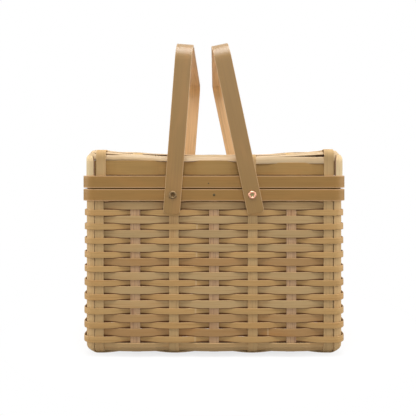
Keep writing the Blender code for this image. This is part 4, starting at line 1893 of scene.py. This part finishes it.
@dataclass
class Studio:
    """Camera, lamps, world and floor, around a picture of 416 by 416 pixels."""

    span: float
    picture: float = 416.0
    sensor: float = 36.0
    focal_pixels: float = 505.0
    distance: float = 0.600
    eye_height: float = 0.221
    middle_x: float = 214.0
    middle_y: float = 172.0
    world_level: float = 0.34
    floor_reach: float = 6.0
    floor_level: float = -0.0005
    fade_start: float = 0.14
    fade_end: float = 0.30
    shadow_fade: float = 0.75

    # Soft light, stronger from above than from the front
    LAMPS = (
        Lamp("overhead", (0.0, -0.50, 1.9), 1.2, 33.0),
        Lamp("left_side", (-1.9, -0.2, 0.7), 1.2, 23.0),
        Lamp("right_side", (1.9, -0.2, 0.7), 1.2, 23.0),
        Lamp("front_fill", (0.2, -2.4, 1.0), 1.5, 7.5),
    )

    def camera(self) -> None:
        """Set the camera at the photograph's viewing angle."""
        data = bpy.data.cameras.new("camera")
        data.sensor_width = self.sensor
        data.lens = self.focal_pixels * self.sensor / self.picture
        data.shift_x = (self.picture / 2 - self.middle_x) / self.picture
        data.shift_y = (self.middle_y - self.picture / 2) / self.picture
        item = bpy.data.objects.new("camera", data)
        item.location = (0.0, -(self.span / 2 + self.distance), self.eye_height)
        item.rotation_euler = (QUARTER, 0.0, 0.0)
        bpy.context.scene.collection.objects.link(item)
        bpy.context.scene.camera = item

    def world(self) -> None:
        """White behind the basket, and a plain level of light from all round."""
        world = bpy.data.worlds.new("studio")
        world.use_nodes = True
        tree = world.node_tree
        tree.nodes.clear()
        ray = add_node(tree, "ShaderNodeLightPath").outputs
        feeds = {0: ray["Is Camera Ray"], 1: ray["Is Glossy Ray"]}
        shown = add_node(tree, "ShaderNodeMath", feeds, operation="MAXIMUM")
        feeds = {0: shown, 1: ray["Is Transmission Ray"]}
        seen = add_node(tree, "ShaderNodeMath", feeds, operation="MAXIMUM")
        feeds = {"Color": colour("#FFFFFF"), "Strength": self.world_level}
        level = add_node(tree, "ShaderNodeBackground", feeds)
        feeds = {"Color": colour("#FFFFFF"), "Strength": 1.0}
        white = add_node(tree, "ShaderNodeBackground", feeds)
        mixed = add_node(tree, "ShaderNodeMixShader", {0: seen, 1: level, 2: white})
        add_node(tree, "ShaderNodeOutputWorld", {"Surface": mixed})
        bpy.context.scene.world = world

    def floor(self) -> None:
        """Lay a wide matt floor, nearly white, just under the basket."""
        mesh = bpy.data.meshes.new("floor")
        corners = [(x * self.floor_reach, y * self.floor_reach, self.floor_level)
                   for x, y in ((-1, -1), (1, -1), (1, 1), (-1, 1))]
        mesh.from_pydata(corners, [], [(0, 1, 2, 3)])
        mesh.materials.append(self.floor_paint())
        item = bpy.data.objects.new("floor", mesh)
        bpy.context.scene.collection.objects.link(item)

    def floor_paint(self) -> bpy.types.Material:
        """Build the matt white paint, which the camera sees fade to plain white away from the basket.

        Returns:
            The floor's material.
        """
        paint = bpy.data.materials.new("matt_floor_paint")
        paint.use_nodes = True
        tree = paint.node_tree
        tree.nodes.clear()
        ray = add_node(tree, "ShaderNodeLightPath").outputs["Is Camera Ray"]
        feeds = {0: ray, 6: colour("#B4B4B4"), 7: colour("#FFFFFF")}
        albedo = add_node(tree, "ShaderNodeMix", feeds, data_type="RGBA").outputs[2]
        matt = add_node(tree, "ShaderNodeBsdfDiffuse", {"Color": albedo})
        place = add_node(tree, "ShaderNodeTexCoord").outputs["Object"]
        away = add_node(tree, "ShaderNodeVectorMath", {0: place}, operation="LENGTH").outputs["Value"]
        feeds = {"Value": away, "From Min": self.fade_start, "From Max": self.fade_end,
                 "To Min": self.shadow_fade}
        fade = add_node(tree, "ShaderNodeMapRange", feeds, interpolation_type="SMOOTHSTEP")
        share = add_node(tree, "ShaderNodeMath", {0: fade, 1: ray}, operation="MULTIPLY")
        white = add_node(tree, "ShaderNodeEmission", {"Color": colour("#FFFFFF"), "Strength": 1.0})
        mixed = add_node(tree, "ShaderNodeMixShader", {0: share, 1: matt, 2: white})
        add_node(tree, "ShaderNodeOutputMaterial", {"Surface": mixed})
        return paint

    def build(self) -> None:
        """Set up everything around the basket."""
        bpy.context.scene.view_settings.view_transform = "Standard"
        self.camera()
        for lamp in self.LAMPS:
            lamp.hang()
        self.world()
        self.floor()


def main() -> None:
    """Load the frame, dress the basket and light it."""
    for item in list(bpy.data.objects):
        bpy.data.objects.remove(item, do_unlink=True)
    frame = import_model()
    weave = Weave.from_frame(BasketBody.DRIFT)
    lid_weave = Weave.from_frame(Lid.DRIFT, corner_turns=(math.radians(66.0), math.radians(62.0)),
                                 proud=(0.0015, 0.0025))
    shop = Workshop()
    pivots = {joint["child"].removesuffix("_bail"): Vector(joint["pos_m"])
              for joint in frame["joints"] if joint["type"] == "hinge"}
    low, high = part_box("body_outer_band")
    span = high.x - low.x
    BasketBody(weave).build(shop, [(pivot.x, pivot.z) for pivot in pivots.values()])
    Lid(lid_weave).build(shop)
    Bail("left", math.radians(4.4), pivots["left"], span, reach=0.1840,
         stock=Stock(tone=0.1, seed=171.0)).build(shop)
    Bail("right", math.radians(-12.0), pivots["right"], span, reach=0.1870,
         stock=Stock(seed=181.0)).build(shop)
    rivets, rivet_tree = Rivets(weave, span), RivetTree()
    rivets.build(shop, rivet_tree, "left", pivots["left"], Finish.BRASS)
    rivets.build(shop, rivet_tree, "right", pivots["right"], Finish.COPPER)
    tacks, tack_tree = Tacks(weave), TackTree()
    tacks.build(shop, tack_tree, "tacks_body", "body_outer_band", "basket",
                strays=(0.0, 0.002, -0.004, 0.003), radius=0.0016, drop=-0.0002)
    tacks.build(shop, tack_tree, "tacks_lid", "lid_outer_band", "lid",
                strays=(-0.0065, 0.0, 0.005, -0.003), radius=0.0009, drop=0.0018)
    Studio(span).build()


if __name__ == "__main__":
    main()
